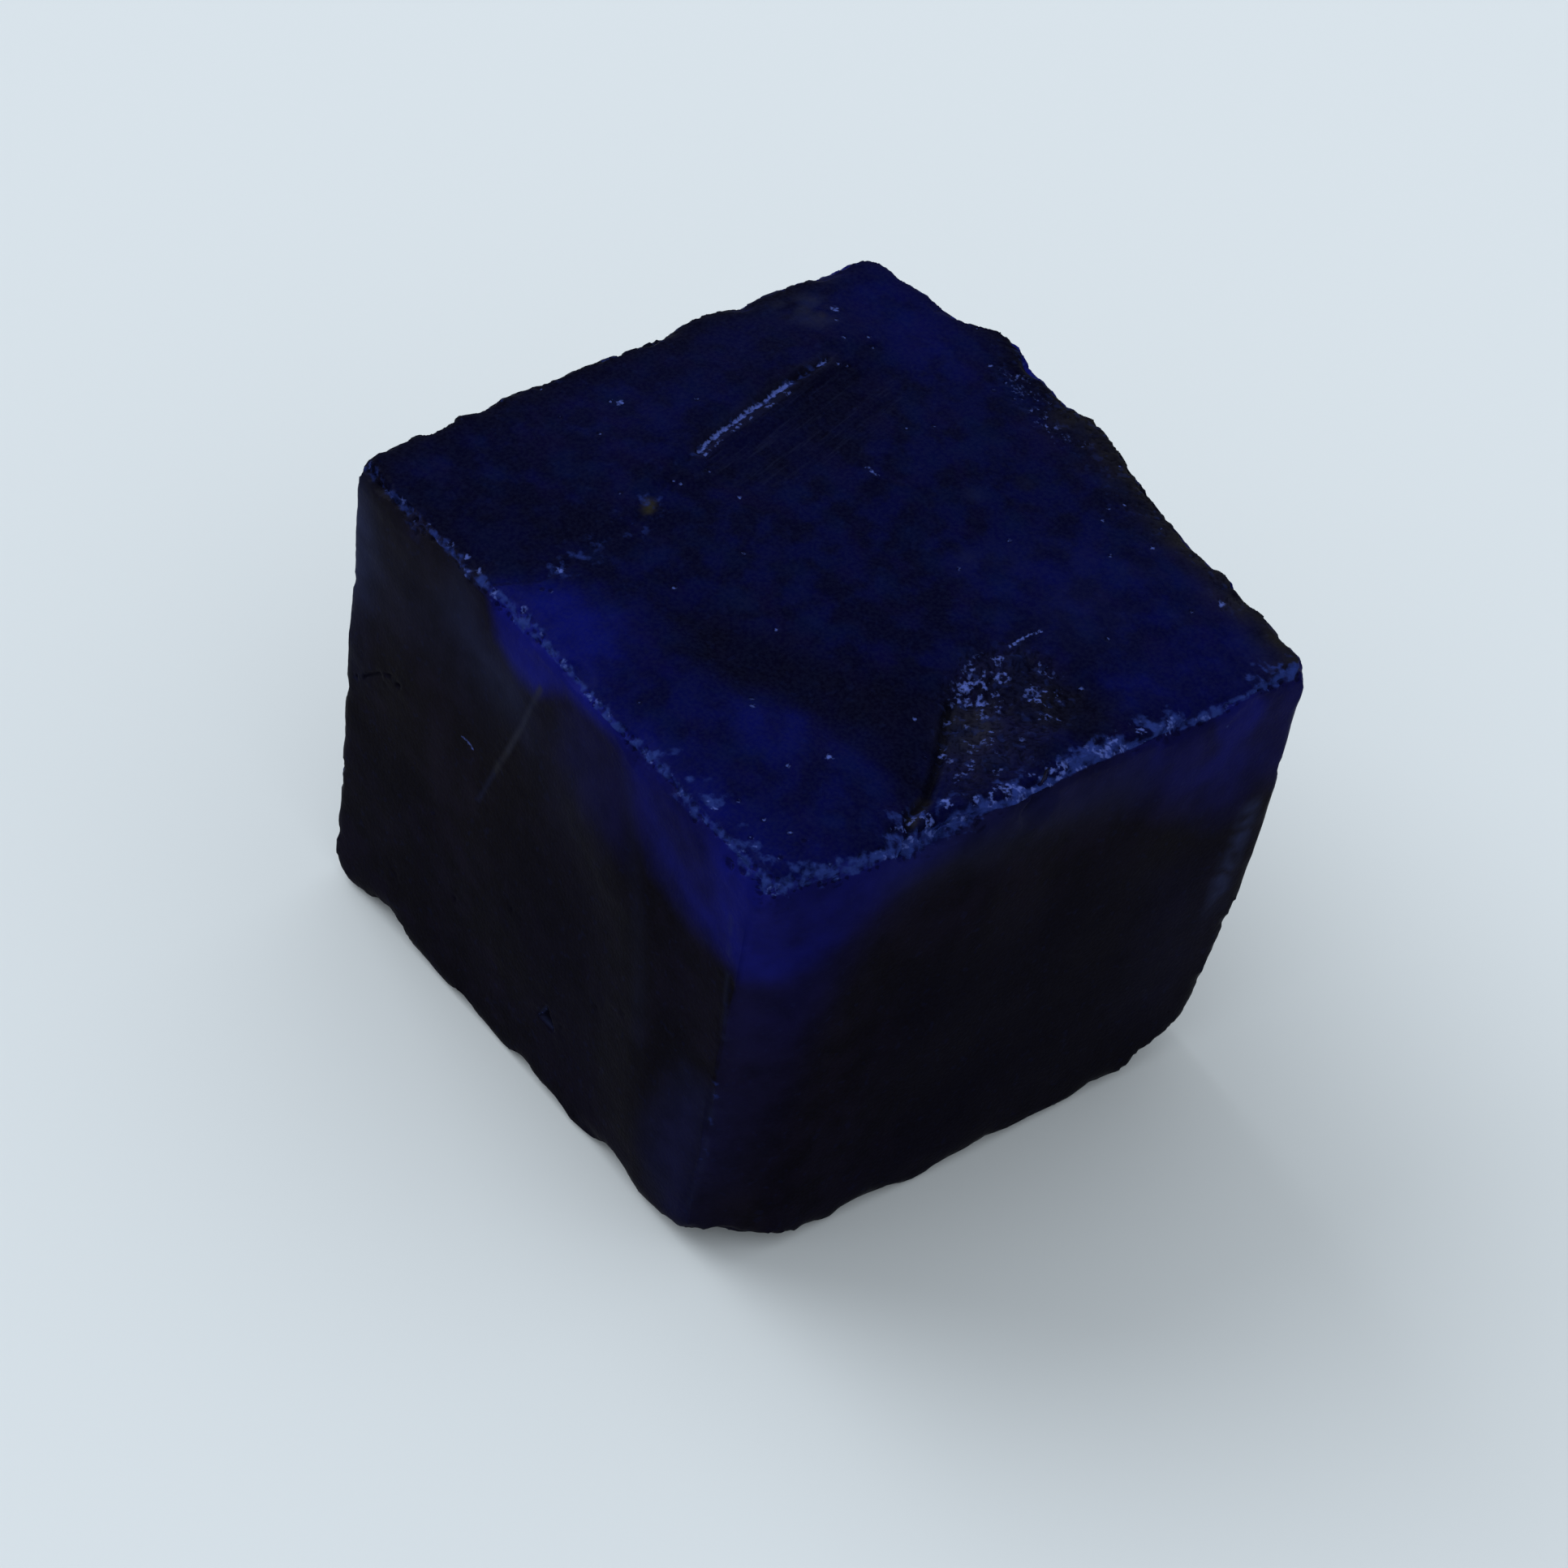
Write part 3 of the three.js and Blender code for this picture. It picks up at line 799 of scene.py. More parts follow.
# Pale grey-blue: real pale spots, lines and frosting, and a painted sheen, the soft reflection near the
# front's top left corner and along the upper sides.
HAZE_AND_SHEEN_MARKS = (
    Patchy(Area(TOP, PALE_OVAL, 0.45, 0.3), 0.7, 0.6, 6.1),
    Dots(TOP, ((0.3, 5.4), (0.65, 7.5), (2.6, 3.3)), 0.6, 0.2),
    Patchy(Area(TOP, BACK_MIDDLE, 1.8, 0.08), 1.3, 0.4, 1.9),
    Area(FRONT, ((-12.8, 19.6), (-11.0, 18.4), (-10.4, 16.2), (-11.0, 14.4), (-12.8, 13.0)), 1.2, 0.85),
    Area(FRONT, ((-12.8, 13.6), (-10.8, 14.0), (-10.8, 10.6), (-12.8, 9.0)), 1.2, 0.2),
    Area(FRONT, ((-11.6, 19.0), (-6.0, 19.2), (-3.0, 16.6), (-3.4, 14.0), (-7.0, 14.6), (-11.6, 13.6)),
         1.8, 0.16),
    Area(FRONT, ((-5.8, 19.4), (-4.4, 17.6), (-1.6, 17.4), (-1.4, 15.4), (-3.4, 15.6), (-6.4, 17.4)), 1.2,
         0.45),
    Area(FRONT, ((-1.2, 18.4), (2.4, 18.9), (3.9, 16.5), (3.6, 14.0), (0.6, 13.0), (-1.9, 15.0)), 1.6, 0.1),
    Line(FRONT, PALE_LINE, 0.2, 0.3),
    Line(FRONT, PALE_LINE[:4], 0.2, 0.3),
    Line(FRONT, PALE_BAND, 0.7, 0.1),
    Line(FRONT, PIT + PIT[:1], 0.1, 0.6),
    Patchy(Line(FRONT, CREASE, 0.22, 0.26), 0.8, 0.6, 4.2),
    Area(FRONT, ((8.0, 1.0), (7.4, 4.2), (9.0, 9.0), (10.6, 8.8), (10.6, 5.0), (10.2, 1.0)), 0.9, 0.16),
    Patchy(Line(FRONT, LOW_CREASE, 0.2, 0.2), 0.9, 0.6, 1.2),
    Patchy(Line(RIGHT, PALE_STREAK, 0.75, 0.9), 0.5, 0.62, 7.1),
    Line(RIGHT, PALE_STREAK, 0.9, 0.2),
    Line(RIGHT, ((-6.5, 18.6), (-2.0, 18.3), (2.4, 17.6)), 2.4, 0.2),
    Line(LEFT, ((11.5, 14.0), (10.5, 8.0), (11.3, 3.0)), 1.4, 0.4),
    Line(BACK, ((-11.8, 14.0), (-11.2, 8.0), (-11.6, 3.0)), 1.0, 0.35),
    Line(BACK, ((-2.8, 2.0), (-2.7, 8.0), (-3.0, 14.0)), 0.3, 0.5),
)
CRUMBS = (
    Within(Along(RIM, 0.24, 0.4), NEAR_RIMS),
    Patchy(Within(Along(RIM, 0.26, 0.38), Line(TOP, ((-7.2, -11.9), (-5.2, -11.7)), 1.2)), 0.7, 0.5, 4.4),
    Within(Along(RIM, 0.28, 0.4), Line(TOP, FRONT_RIM[2:], 1.4)),
    Within(Along(RIM, 0.28, 0.72), Line(TOP, RIGHT_RIM, 1.6)),
    Patchy(Line(TOP, CORNER_CRUMBS, 1.0, 0.6), 0.6, 0.45, 1.3),
    Patchy(Line(TOP, BROKEN_RIM, 1.1, 0.9), 0.9, 0.5, 5.1),
    Patchy(Line(TOP, CORNER_RIM, 0.9, 0.8), 0.35, 0.45, 2.8),
    Patchy(Within(Along(RIM, 0.4, 0.4), FAR_RIMS), 0.6, 0.3, 4.9),
    Patchy(Within(Along(RIM, 0.3, 0.55), Line(TOP, ((-11.2, 12.0), (-7.4, 12.0)), 1.4)), 0.6, 0.6, 3.6),
    Patchy(Within(Along(UPRIGHT, 0.3, 0.4), FAR_SIDES), 1.2, 0.35, 7.7),
    Line(TOP, SCAR, 0.26, 0.4),
    Patchy(Line(TOP, CRUMBLED_FRACTURE, 1.0, 0.55), 0.8, 0.5, 2.2),
    Patchy(Line(TOP, FRACTURE, 0.2, 0.35), 0.4, 0.45, 6.6),
    Area(TOP, FROSTED_BACK, 0.8, 0.1),
    Area(TOP, PITTED, 0.6, 0.16),
    Patchy(Line(FRONT, LOW_CREASE, 0.22, 0.35), 0.4, 0.45, 3.3),
    Patchy(Line(BACK, ((4.6, 1.0), (4.9, 9.0), (5.3, 14.0)), 0.4, 0.5), 0.8, 0.5, 4.4),
    Patchy(Line(LEFT, ((-8.0, 5.6), (-4.0, 5.2), (3.0, 4.4), (12.0, 5.0)), 0.4, 0.4), 0.8, 0.45, 6.2),
)
# Painted glints: bright specks where the scar, flecks, pits, scratches and crumbled rims catch the light.
PAINTED_GLINTS = (
    Patchy(Line(TOP, SCAR, 0.16, 0.75), 0.5, 0.65, 8.1),
    Line(TOP, SCAR_MIDDLE, 0.19, 0.85),
    Patchy(Line(TOP, tuple((x + 0.3, y) for x, y in SCAR_MIDDLE), 0.14, 0.6), 0.4, 0.5, 9.3),
    Dots(TOP, FLECKS, 0.17, 0.7),
    Dots(TOP, BRIGHT_FLECKS, 0.28, 1.0),
    Dots(TOP, RIM_BEADS, 0.24, 0.7),
    Patchy(Area(TOP, WHITE_PITS, 0.4, 0.65), 0.3, 0.42, 2.5),
    Patchy(Area(TOP, FEW_WHITE_PITS, 0.4, 0.5), 0.35, 0.4, 3.5),
    Patchy(Area(TOP, PITTED, 0.6, 0.45), 0.5, 0.25, 5.9),
    Patchy(Area(TOP, ((-5.0, 10.4), (-4.4, 11.7), (0.0, 11.0), (-0.6, 9.6)), 0.7, 0.36), 0.3, 0.4, 7.3),
    Patchy(Line(TOP, BROKEN_RIM, 0.9, 0.75), 0.36, 0.42, 3.9),
    Patchy(Within(Along(RIM, 0.22, 0.55), NEAR_RIMS), 0.5, 0.3, 5.5),
    Together(SCRATCHES),
    Dots(RIGHT, ((6.7, 18.7),), 0.2, 0.6),
    Dots(FRONT, ((2.25, 4.07),), 0.12, 0.8),
    Line(FRONT, PIT[:2], 0.1, 0.4),
)
TINTS = {
    "glow": GLOWS,
    "deep": DARK_ZONES_AND_SHADE,
    "earth": EARTHS,
    "rust": (Line(TOP, RUST_SPOT, 0.34, 0.55),),
    "film_and_sheen": FILM_AND_SHEEN_MARKS,
    "haze_and_sheen": HAZE_AND_SHEEN_MARKS,
    "stria": (Area(TOP, STRIATED, 0.9),),
    "crumb": CRUMBS,
    "painted_glint": PAINTED_GLINTS,
}


def blended(marks: Sequence[Mark], surface: Surface) -> np.ndarray:
    """Lay several marks over each other, each covering its share of what is still bare.

    Args:
        marks: The marks.
        surface: The surface that they are laid on.

    Returns:
        The share that is covered at each point.
    """
    bare = np.ones(len(surface.points))
    for mark in marks:
        bare *= 1.0 - mark.weight(surface)
    return 1.0 - bare


def crest(stone: bpy.types.Object) -> np.ndarray:
    """Measure how sharply the surface bends over at each point.

    Args:
        stone: The carved stone.

    Returns:
        One over the radius in millimetres, positive on ridges and negative in hollows.
    """
    points = read_vectors(stone.data, "co") / MM
    offset = points - neighbour_mean(stone.data, points)
    edges = np.empty(len(stone.data.edges) * 2, np.int32)
    stone.data.edges.foreach_get("vertices", edges)
    lengths = np.linalg.norm(points[edges[::2]] - points[edges[1::2]], axis=1)
    spread = np.bincount(edges, np.repeat(lengths * lengths, 2)) / np.bincount(edges)
    return (offset * read_vectors(stone.data, "normal")).sum(axis=1) * 2.0 / spread


def store(mesh: bpy.types.Mesh, name: str, values: np.ndarray) -> None:
    """Keep one number for each vertex as an attribute that the finish can read."""
    attribute = mesh.attributes.new(name, "FLOAT", "POINT")
    attribute.data.foreach_set("value", values.astype(np.float32))


# ------------------------------------------------------------------------------------------------
# Shader maths
# ------------------------------------------------------------------------------------------------

Number = Union["Field", float]
MOST = (0.3, 0.7)  # between these lie most values of a noise


@dataclass(frozen=True)
class Pattern:
    """Soft noise: the size of its spots in millimetres, and how it is stretched and turned in degrees."""

    size: float
    detail: float
    stretch: Triple = (1.0, 1.0, 1.0)
    turn: float = 0.0


class Field:
    """A number over the surface, held as a socket; arithmetic on it adds the Math nodes."""

    def __init__(self, graph: "Graph", socket: bpy.types.NodeSocket) -> None:
        """Wrap a socket of a graph."""
        self.graph = graph
        self.socket = socket

    def __add__(self, other: Number) -> "Field":
        """Return the sum."""
        return self.graph.math("ADD", self, other)

    def __radd__(self, other: Number) -> "Field":
        """Return the sum."""
        return self.graph.math("ADD", other, self)

    def __sub__(self, other: Number) -> "Field":
        """Return the difference."""
        return self.graph.math("SUBTRACT", self, other)

    def __rsub__(self, other: Number) -> "Field":
        """Return the difference from the other."""
        return self.graph.math("SUBTRACT", other, self)

    def __mul__(self, other: Number) -> "Field":
        """Return the product."""
        return self.graph.math("MULTIPLY", self, other)

    def __rmul__(self, other: Number) -> "Field":
        """Return the product."""
        return self.graph.math("MULTIPLY", other, self)

    def eased(self, low: float, high: float) -> "Field":
        """Return 0 at low, 1 at high and a smooth change between them."""
        return self.graph.eased(self, low, high)


class Graph:
    """The nodes of one material."""

    def __init__(self, material: bpy.types.Material) -> None:
        """Start an empty node tree.

        Args:
            material: The material that the nodes go into.
        """
        material.use_nodes = True
        self.tree = material.node_tree
        self.tree.nodes.clear()
        self.place = self.node("ShaderNodeTexCoord", {}, {}).outputs["Object"]

    def node(self, kind: str, settings: Mapping[str, Any], sockets: Mapping[Any, Any]) -> bpy.types.Node:
        """Add a node.

        Args:
            kind: The node's type.
            settings: Its properties, which are set before its sockets.
            sockets: Values or links for its inputs, by name or by number.

        Returns:
            The new node.
        """
        node = self.tree.nodes.new(kind)
        for name, value in settings.items():
            setattr(node, name, value)
        for name, value in sockets.items():
            socket = value.socket if isinstance(value, Field) else value
            if isinstance(socket, bpy.types.NodeSocket):
                self.tree.links.new(socket, node.inputs[name])
            else:
                node.inputs[name].default_value = socket
        return node

    def math(self, operation: str, first: Number, second: Number) -> Field:
        """Return one Math node's result."""
        node = self.node("ShaderNodeMath", {"operation": operation}, {0: first, 1: second})
        return Field(self, node.outputs[0])

    def eased(self, value: Field, low: float, high: float) -> Field:
        """Ease a value from one end of a range to the other.

        Args:
            value: The value.
            low: What becomes 0; it may be the larger.
            high: What becomes 1.

        Returns:
            The eased value.
        """
        sockets = {"Value": value, "From Min": low, "From Max": high}
        node = self.node("ShaderNodeMapRange", {"interpolation_type": "SMOOTHSTEP"}, sockets)
        return Field(self, node.outputs["Result"])

    def mix(self, share: Number, bare: Any, over: Any) -> bpy.types.NodeSocket:
        """Return one colour laid over another by a share."""
        sockets = {0: share, 6: solid(bare), 7: solid(over)}
        return self.node("ShaderNodeMix", {"data_type": "RGBA"}, sockets).outputs[2]

    def tint(self, name: str) -> Field:
        """Return one of the piece's own attributes."""
        node = self.node("ShaderNodeAttribute", {"attribute_name": name}, {})
        return Field(self, node.outputs["Fac"])

    def noise(self, pattern: Pattern) -> Field:
        """Lay soft noise over the object.

        Args:
            pattern: Its size, detail, stretch and turn. It is turned about Z first, and then stretched.

        Returns:
            The noise, from 0 to 1.
        """
        turned = {"Vector": self.place, "Rotation": (0.0, 0.0, math.radians(-pattern.turn))}
        place = self.node("ShaderNodeMapping", {}, turned).outputs[0]
        scale = tuple(1 / share for share in pattern.stretch)
        place = self.node("ShaderNodeMapping", {}, {"Vector": place, "Scale": scale}).outputs[0]
        sockets = {"Vector": place, "Scale": 1 / (pattern.size * MM), "Detail": pattern.detail}
        return Field(self, self.node("ShaderNodeTexNoise", {}, sockets).outputs["Fac"])

    def cells(self, size: float) -> Field:
        """Return the distance to the middles of cells of a size in millimetres."""
        sockets = {"Vector": self.place, "Scale": 1 / (size * MM)}
        return Field(self, self.node("ShaderNodeTexVoronoi", {}, sockets).outputs["Distance"])


def solid(colour: Any) -> Any:
    """Return a colour with its alpha, and a socket as it is."""
    return (*colour, 1.0) if isinstance(colour, tuple) else colour


# ------------------------------------------------------------------------------------------------
# Finishes
# ------------------------------------------------------------------------------------------------


@dataclass(frozen=True)
class TanzaniteFinish:
    """Dark blue crystal: painted blue glow in thin corners, painted shade in hollows, pale crumbs with
    painted glints, and a grey skin with painted sheen on the sides.
    """

    navy: Colour = (0.0004, 0.0005, 0.0100)
    blue: Colour = (0.0006, 0.0011, 0.0240)
    teal: Colour = (0.0005, 0.0029, 0.0260)
    violet: Colour = (0.0018, 0.0009, 0.0190)
    # the dark of the dark zones, also laid as painted shade in recesses and concave spots
    deep: Colour = (0.0006, 0.0004, 0.0034)
    # painted glow: the blue of light shining out through thin corners
    glow: Colour = (0.0026, 0.0046, 0.1180)
    dusk: Colour = (0.0007, 0.0003, 0.0022)
    side: Colour = (0.0018, 0.0010, 0.0056)
    # grey skin of the sides, partly painted sheen
    film_and_sheen: Colour = (0.0320, 0.0262, 0.0270)
    earth: Colour = (0.0190, 0.0174, 0.0125)
    rust: Colour = (0.0300, 0.0260, 0.0060)
    # pale grey-blue of frosting and pale marks, also laid as painted sheen
    haze_and_sheen: Colour = (0.0120, 0.0150, 0.0420)
    crumb: Colour = (0.0140, 0.0260, 0.1330)
    # the bright blue-white of painted glints
    painted_glint: Colour = (0.0560, 0.0820, 0.2900)
    broad: Pattern = Pattern(4.5, 3.0)
    mottle: Pattern = Pattern(1.1, 4.0)
    streaks: Pattern = Pattern(0.8, 3.0, (1.0, 6.0, 1.0), TOP_STRIA)
    hairs: Pattern = Pattern(0.16, 2.0, (1.0, 16.0, 1.0), TOP_STRIA)
    frost: Pattern = Pattern(0.14, 2.0)
    teal_clouds: Pattern = Pattern(1.4, 4.0)
    violet_bands: Pattern = Pattern(1.2, 4.0, (1.6, 1.0, 1.0))
    coarse_crumbs: Pattern = Pattern(0.34, 3.0)
    fine_crumbs: Pattern = Pattern(0.15, 2.0)
    wear: Pattern = Pattern(0.7, 2.0)
    furrows: Pattern = Pattern(0.22, 3.0, (1.0, 9.0, 1.0), TOP_STRIA)
    tooth: Pattern = Pattern(0.16, 3.0)
    crumb_size: float = 0.22
    teal_share: float = 0.55
    violet_share: float = 0.5
    # how far concave spots are darkened as painted shade
    hollow_shade_share: float = 0.5
    scratched_share: float = 0.16
    frost_share: float = 0.05
    frost_on_top: float = 0.09
    roughness: float = 0.42
    roughness_spread: float = 0.24
    side_polish: float = 0.08
    crumb_shine: float = 0.1
    shine_roughness: float = 0.2
    specular: float = 0.002
    ior: float = 1.69
    clear_share: float = 0.01
    absorbed: Colour = (0.02, 0.03, 0.75)
    density: float = 260.0
    relief_strength: float = 0.45
    relief_depth: float = 0.05

    def material(self) -> bpy.types.Material:
        """Build the finish.

        Returns:
            A new material.
        """
        material = bpy.data.materials.new("tanzanite")
        graph = Graph(material)
        lid = graph.tint("lid")
        sharp = graph.tint("crest")
        crumb, painted_glint = self._breaks(graph, sharp)
        uneven = self.roughness_spread * (graph.noise(self.wear) - 0.5)
        sockets = {
            "Base Color": self._colour(graph, lid, crumb, painted_glint, sharp),
            "Roughness": self.roughness - self.side_polish * (1 - lid) + uneven,
            "Normal": self._bump(graph, crumb).outputs["Normal"],
            "Coat Weight": painted_glint * self.crumb_shine,
            "Coat Roughness": self.shine_roughness,
            "IOR": self.ior,
            "Specular IOR Level": self.specular,
            "Transmission Weight": self.clear_share,
        }
        shader = graph.node("ShaderNodeBsdfPrincipled", {}, sockets)
        depth = {"Color": solid(self.absorbed), "Density": self.density}
        volume = graph.node("ShaderNodeVolumeAbsorption", {}, depth)
        ends = {"Surface": shader.outputs[0], "Volume": volume.outputs[0]}
        graph.node("ShaderNodeOutputMaterial", {}, ends)
        return material

    def _breaks(self, graph: Graph, sharp: Field) -> tuple[Field, Field]:
        """Break the crumbled places up into crumbs.

        Args:
            graph: The finish's nodes.
            sharp: How sharply the surface bends over.

        Returns:
            Where the stone is crumbled pale, and where glints are painted on single crumbs.
        """
        coarse = graph.noise(self.coarse_crumbs).eased(*MOST)
        fine = graph.noise(self.fine_crumbs).eased(*MOST)
        drawn = graph.tint("crumb") * (0.95 + sharp.eased(-0.5, 2.0) * 0.1)
        crumb = (drawn + coarse * 0.7 - 0.6).eased(0.0, 0.85)
        painted_glint = (graph.tint("painted_glint") + fine * 0.7 - 0.75).eased(0.0, 0.7)
        return crumb, painted_glint

    def _colour(
        self, graph: Graph, lid: Field, crumb: Field, painted_glint: Field, sharp: Field
    ) -> bpy.types.NodeSocket:
        """Lay the stone's colours over each other.

        Args:
            graph: The finish's nodes.
            lid: How far the surface belongs to the top.
            crumb: Where it is crumbled pale.
            painted_glint: Where glints are painted on single crumbs.
            sharp: How sharply it bends over.

        Returns:
            The colour.
        """
        broad = graph.noise(self.broad)
        mottle = graph.noise(self.mottle)
        streaks = graph.noise(self.streaks)
        hairs = graph.noise(self.hairs).eased(0.52, 0.68)
        frost = graph.noise(self.frost).eased(*MOST)
        patches = (broad * 0.4 + mottle * 0.55 + streaks * 0.2).eased(0.5, 0.66)
        colour = graph.mix(patches, self.navy, self.blue)
        clouds = graph.noise(self.teal_clouds).eased(0.48, 0.7)
        colour = graph.mix(clouds * self.teal_share, colour, self.teal)
        bands = graph.noise(self.violet_bands).eased(0.5, 0.7)
        colour = graph.mix(bands * self.violet_share, colour, self.violet)
        side = graph.mix((broad * 0.6 + mottle * 0.4).eased(0.42, 0.62), self.dusk, self.side)
        colour = graph.mix(lid, side, colour)
        # Dark zones, with painted shade in the recesses.
        colour = graph.mix(graph.tint("deep") * (0.5 + mottle), colour, self.deep)
        # Painted glow in the thin corners and along the edges.
        colour = graph.mix(graph.tint("glow") * (0.1 + 1.3 * mottle + 0.5 * broad), colour, self.glow)
        # Grey skin on the sides, lightened further as a painted sheen.
        colour = graph.mix(graph.tint("film_and_sheen") * (0.6 + 0.8 * mottle), colour, self.film_and_sheen)
        # Pale grey-blue marks, partly painted sheen near the front's top left corner.
        colour = graph.mix(graph.tint("haze_and_sheen") * (0.4 + 1.2 * mottle), colour, self.haze_and_sheen)
        scratched = graph.tint("stria") * hairs * self.scratched_share
        frosted = frost * (self.frost_share + lid * self.frost_on_top)
        colour = graph.mix(scratched + frosted, colour, self.haze_and_sheen)
        earth = graph.tint("earth") * (0.35 + (mottle + 0.1).eased(0.35, 0.75) * 1.1)
        colour = graph.mix(earth, colour, self.earth)
        colour = graph.mix(graph.tint("rust"), colour, self.rust)
        # Painted shade: concave spots are darkened towards the dark body colour.
        colour = graph.mix(sharp.eased(0.0, -2.5) * self.hollow_shade_share, colour, self.deep)
        colour = graph.mix(crumb, colour, self.crumb)
        # Painted glints on single crumbs.
        return graph.mix(painted_glint, colour, self.painted_glint)

    def _bump(self, graph: Graph, crumb: Field) -> bpy.types.Node:
        """Add the fine relief that is too small to carve.

        Args:
            graph: The finish's nodes.
            crumb: Where the stone is crumbled pale.

        Returns:
            The Bump node.
        """
        stria = graph.noise(self.furrows) * graph.tint("lid")
        height = graph.noise(self.tooth) * 0.6 + stria * 0.8 + graph.cells(self.crumb_size) * crumb
        sockets = {"Strength": self.relief_strength, "Distance": self.relief_depth * MM, "Height": height}
        return graph.node("ShaderNodeBump", {}, sockets)


@dataclass(frozen=True)
class FloorFinish:
    """Plain pale paper."""

    colour: Colour = (0.7, 0.7, 0.7)
    roughness: float = 0.9
    specular: float = 0.1

    def material(self) -> bpy.types.Material:
        """Build the finish.

        Returns:
            A new material.
        """
        material = bpy.data.materials.new("pale floor")
        graph = Graph(material)
        paper = {
            "Base Color": solid(self.colour),
            "Roughness": self.roughness,
            "Specular IOR Level": self.specular,
        }
        shader = graph.node("ShaderNodeBsdfPrincipled", {}, paper)
        graph.node("ShaderNodeOutputMaterial", {}, {"Surface": shader.outputs[0]})
        return material


# ------------------------------------------------------------------------------------------------
# The stone
# ------------------------------------------------------------------------------------------------


@dataclass
class RoughCrystal:
    """The crystal: the CAD solid's own form, carved finer and given its finish.

    The mesh's grain and the height up to which the underside is flat are in millimetres. Evening and
    wearing count rounds: of evening out the ways that chips go in, and of wearing off sharp points.
    """

    node: str = "tanzanite_crystal"
    name: str = "rough_crystal"
    slot: str = "tanzanite"
    grain: float = 0.33
    evening: int = 24
    wearing: int = 6
    flat_below: float = 0.02
    underside_left: float = 0.84
    crease_angle: float = 32.0
    finish: TanzaniteFinish = field(default_factory=TanzaniteFinish)

    def build(self, frame: Mapping[str, Any]) -> bpy.types.Object:
        """Make the stone.


        Returns:
            The finished piece, riding on the frame.
        """
        stone = self._copy_of_solid(frame["nodes"][self.node])
        self._refine(stone)
        surface = Surface.of(stone, self.evening)
        for relief in RELIEFS:
            relief.carve(stone, surface)
        choose(stone)
        bpy.ops.mesh.customdata_custom_splitnormals_clear()
        soften(stone, eased(crest(stone), *SPIKES), self.wearing)
        # Points that a fold let rise above the top are pressed back to the height it had before carving.
        highest = surface.points[:, 2].max() * MM
        level(stone, read_vectors(stone.data, "co")[:, 2] > highest, highest)
        self._store_tints(stone, surface)
        choose(stone)
        bpy.ops.object.shade_smooth_by_angle(angle=math.radians(self.crease_angle))
        stone.data.materials.clear()
        stone.data.materials.append(self.finish.material())
        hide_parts(self.node)
        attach(stone, "root")
        return stone

    def _copy_of_solid(self, solid_node: bpy.types.Object) -> bpy.types.Object:
        """Copy the solid's mesh into a new piece, merged and turned back into four-sided faces.

        Args:
            solid_node: The solid, which is left alone.

        Returns:
            The copy.
        """
        stone = bpy.data.objects.new(self.name, solid_node.data.copy())
        bpy.context.scene.collection.objects.link(stone)
        choose(stone)
        bpy.ops.object.mode_set(mode="EDIT")
        bpy.ops.mesh.select_all(action="SELECT")
        bpy.ops.mesh.remove_doubles(threshold=0.001 * MM)
        flatter, squarer = math.radians(60), math.radians(80)
        bpy.ops.mesh.tris_convert_to_quads(face_threshold=flatter, shape_threshold=squarer)
        bpy.ops.object.mode_set(mode="OBJECT")
        return stone

    def _refine(self, stone: bpy.types.Object) -> None:
        """Give the stone an even, fine mesh, coarse under the stone and finest where chips are carved.

        Args:
            stone: The copy of the solid.
        """
        stone.data.remesh_voxel_size = self.grain * MM
        bpy.ops.object.voxel_remesh()
        for mark, rounds in SOFTENED:
            soften(stone, mark.weight(Surface.of(stone)), rounds)
        self._thin_underside(stone)
        for fine in FINER:
            subdivide(stone, fine.weight(Surface.of(stone)) > LEAST_REFINED)

    def _thin_underside(self, stone: bpy.types.Object) -> None:
        """Leave few faces on the underside, which shows nothing, and keep it flat.

        Args:
            stone: The stone.
        """
        group = stone.vertex_groups.new(name="underside")
        heights = read_vectors(stone.data, "co")[:, 2]
        group.add([int(index) for index in np.flatnonzero(heights < self.flat_below * MM)], 1.0, "REPLACE")
        modifier = stone.modifiers.new("thin", "DECIMATE")
        modifier.vertex_group = group.name
        modifier.ratio = self.underside_left
        apply_modifier(stone, modifier)
        stone.vertex_groups.clear()
        level(stone, read_vectors(stone.data, "co")[:, 2] < self.flat_below * MM, 0.0)

    def _store_tints(self, stone: bpy.types.Object, surface: Surface) -> None:
        """Store what the finish reads.

        Args:
            stone: The carved stone.
            surface: Its surface before it was carved.
        """
        store(stone.data, "lid", TOP.turned_to(surface.normals))
        for name, marks in TINTS.items():
            store(stone.data, name, blended(marks, surface))
        store(stone.data, "crest", crest(stone))


def soften(piece: bpy.types.Object, weights: np.ndarray, rounds: int) -> None:
    """Even out part of a surface.

    Args:
        piece: The piece to soften.
        weights: How much at each point, from 0 to 1.
        rounds: How many times each point moves half way to its neighbours.
    """
    group = piece.vertex_groups.new(name="soften")
    for index in np.flatnonzero(weights > LEAST_SOFTENED):
        group.add([int(index)], float(weights[index]), "REPLACE")
    modifier = piece.modifiers.new("soften", "SMOOTH")
    modifier.vertex_group = group.name
    modifier.factor = 0.5
    modifier.iterations = rounds
    apply_modifier(piece, modifier)
    piece.vertex_groups.clear()


def level(piece: bpy.types.Object, chosen: np.ndarray, height: float) -> None:
    """Press some points of a piece onto one level.

    Args:
        piece: The piece.
        chosen: True for each vertex to press.
        height: The level, in metres.
    """
    group = piece.vertex_groups.new(name="level")
    group.add([int(index) for index in np.flatnonzero(chosen)], 1.0, "REPLACE")
    choose(piece)
    bpy.ops.object.mode_set(mode="EDIT")
    bpy.ops.mesh.select_all(action="DESELECT")
    bpy.ops.object.vertex_group_select()
    bpy.ops.transform.resize(value=(1.0, 1.0, 0.0), center_override=(0.0, 0.0, height))
    bpy.ops.object.mode_set(mode="OBJECT")
    piece.vertex_groups.clear()


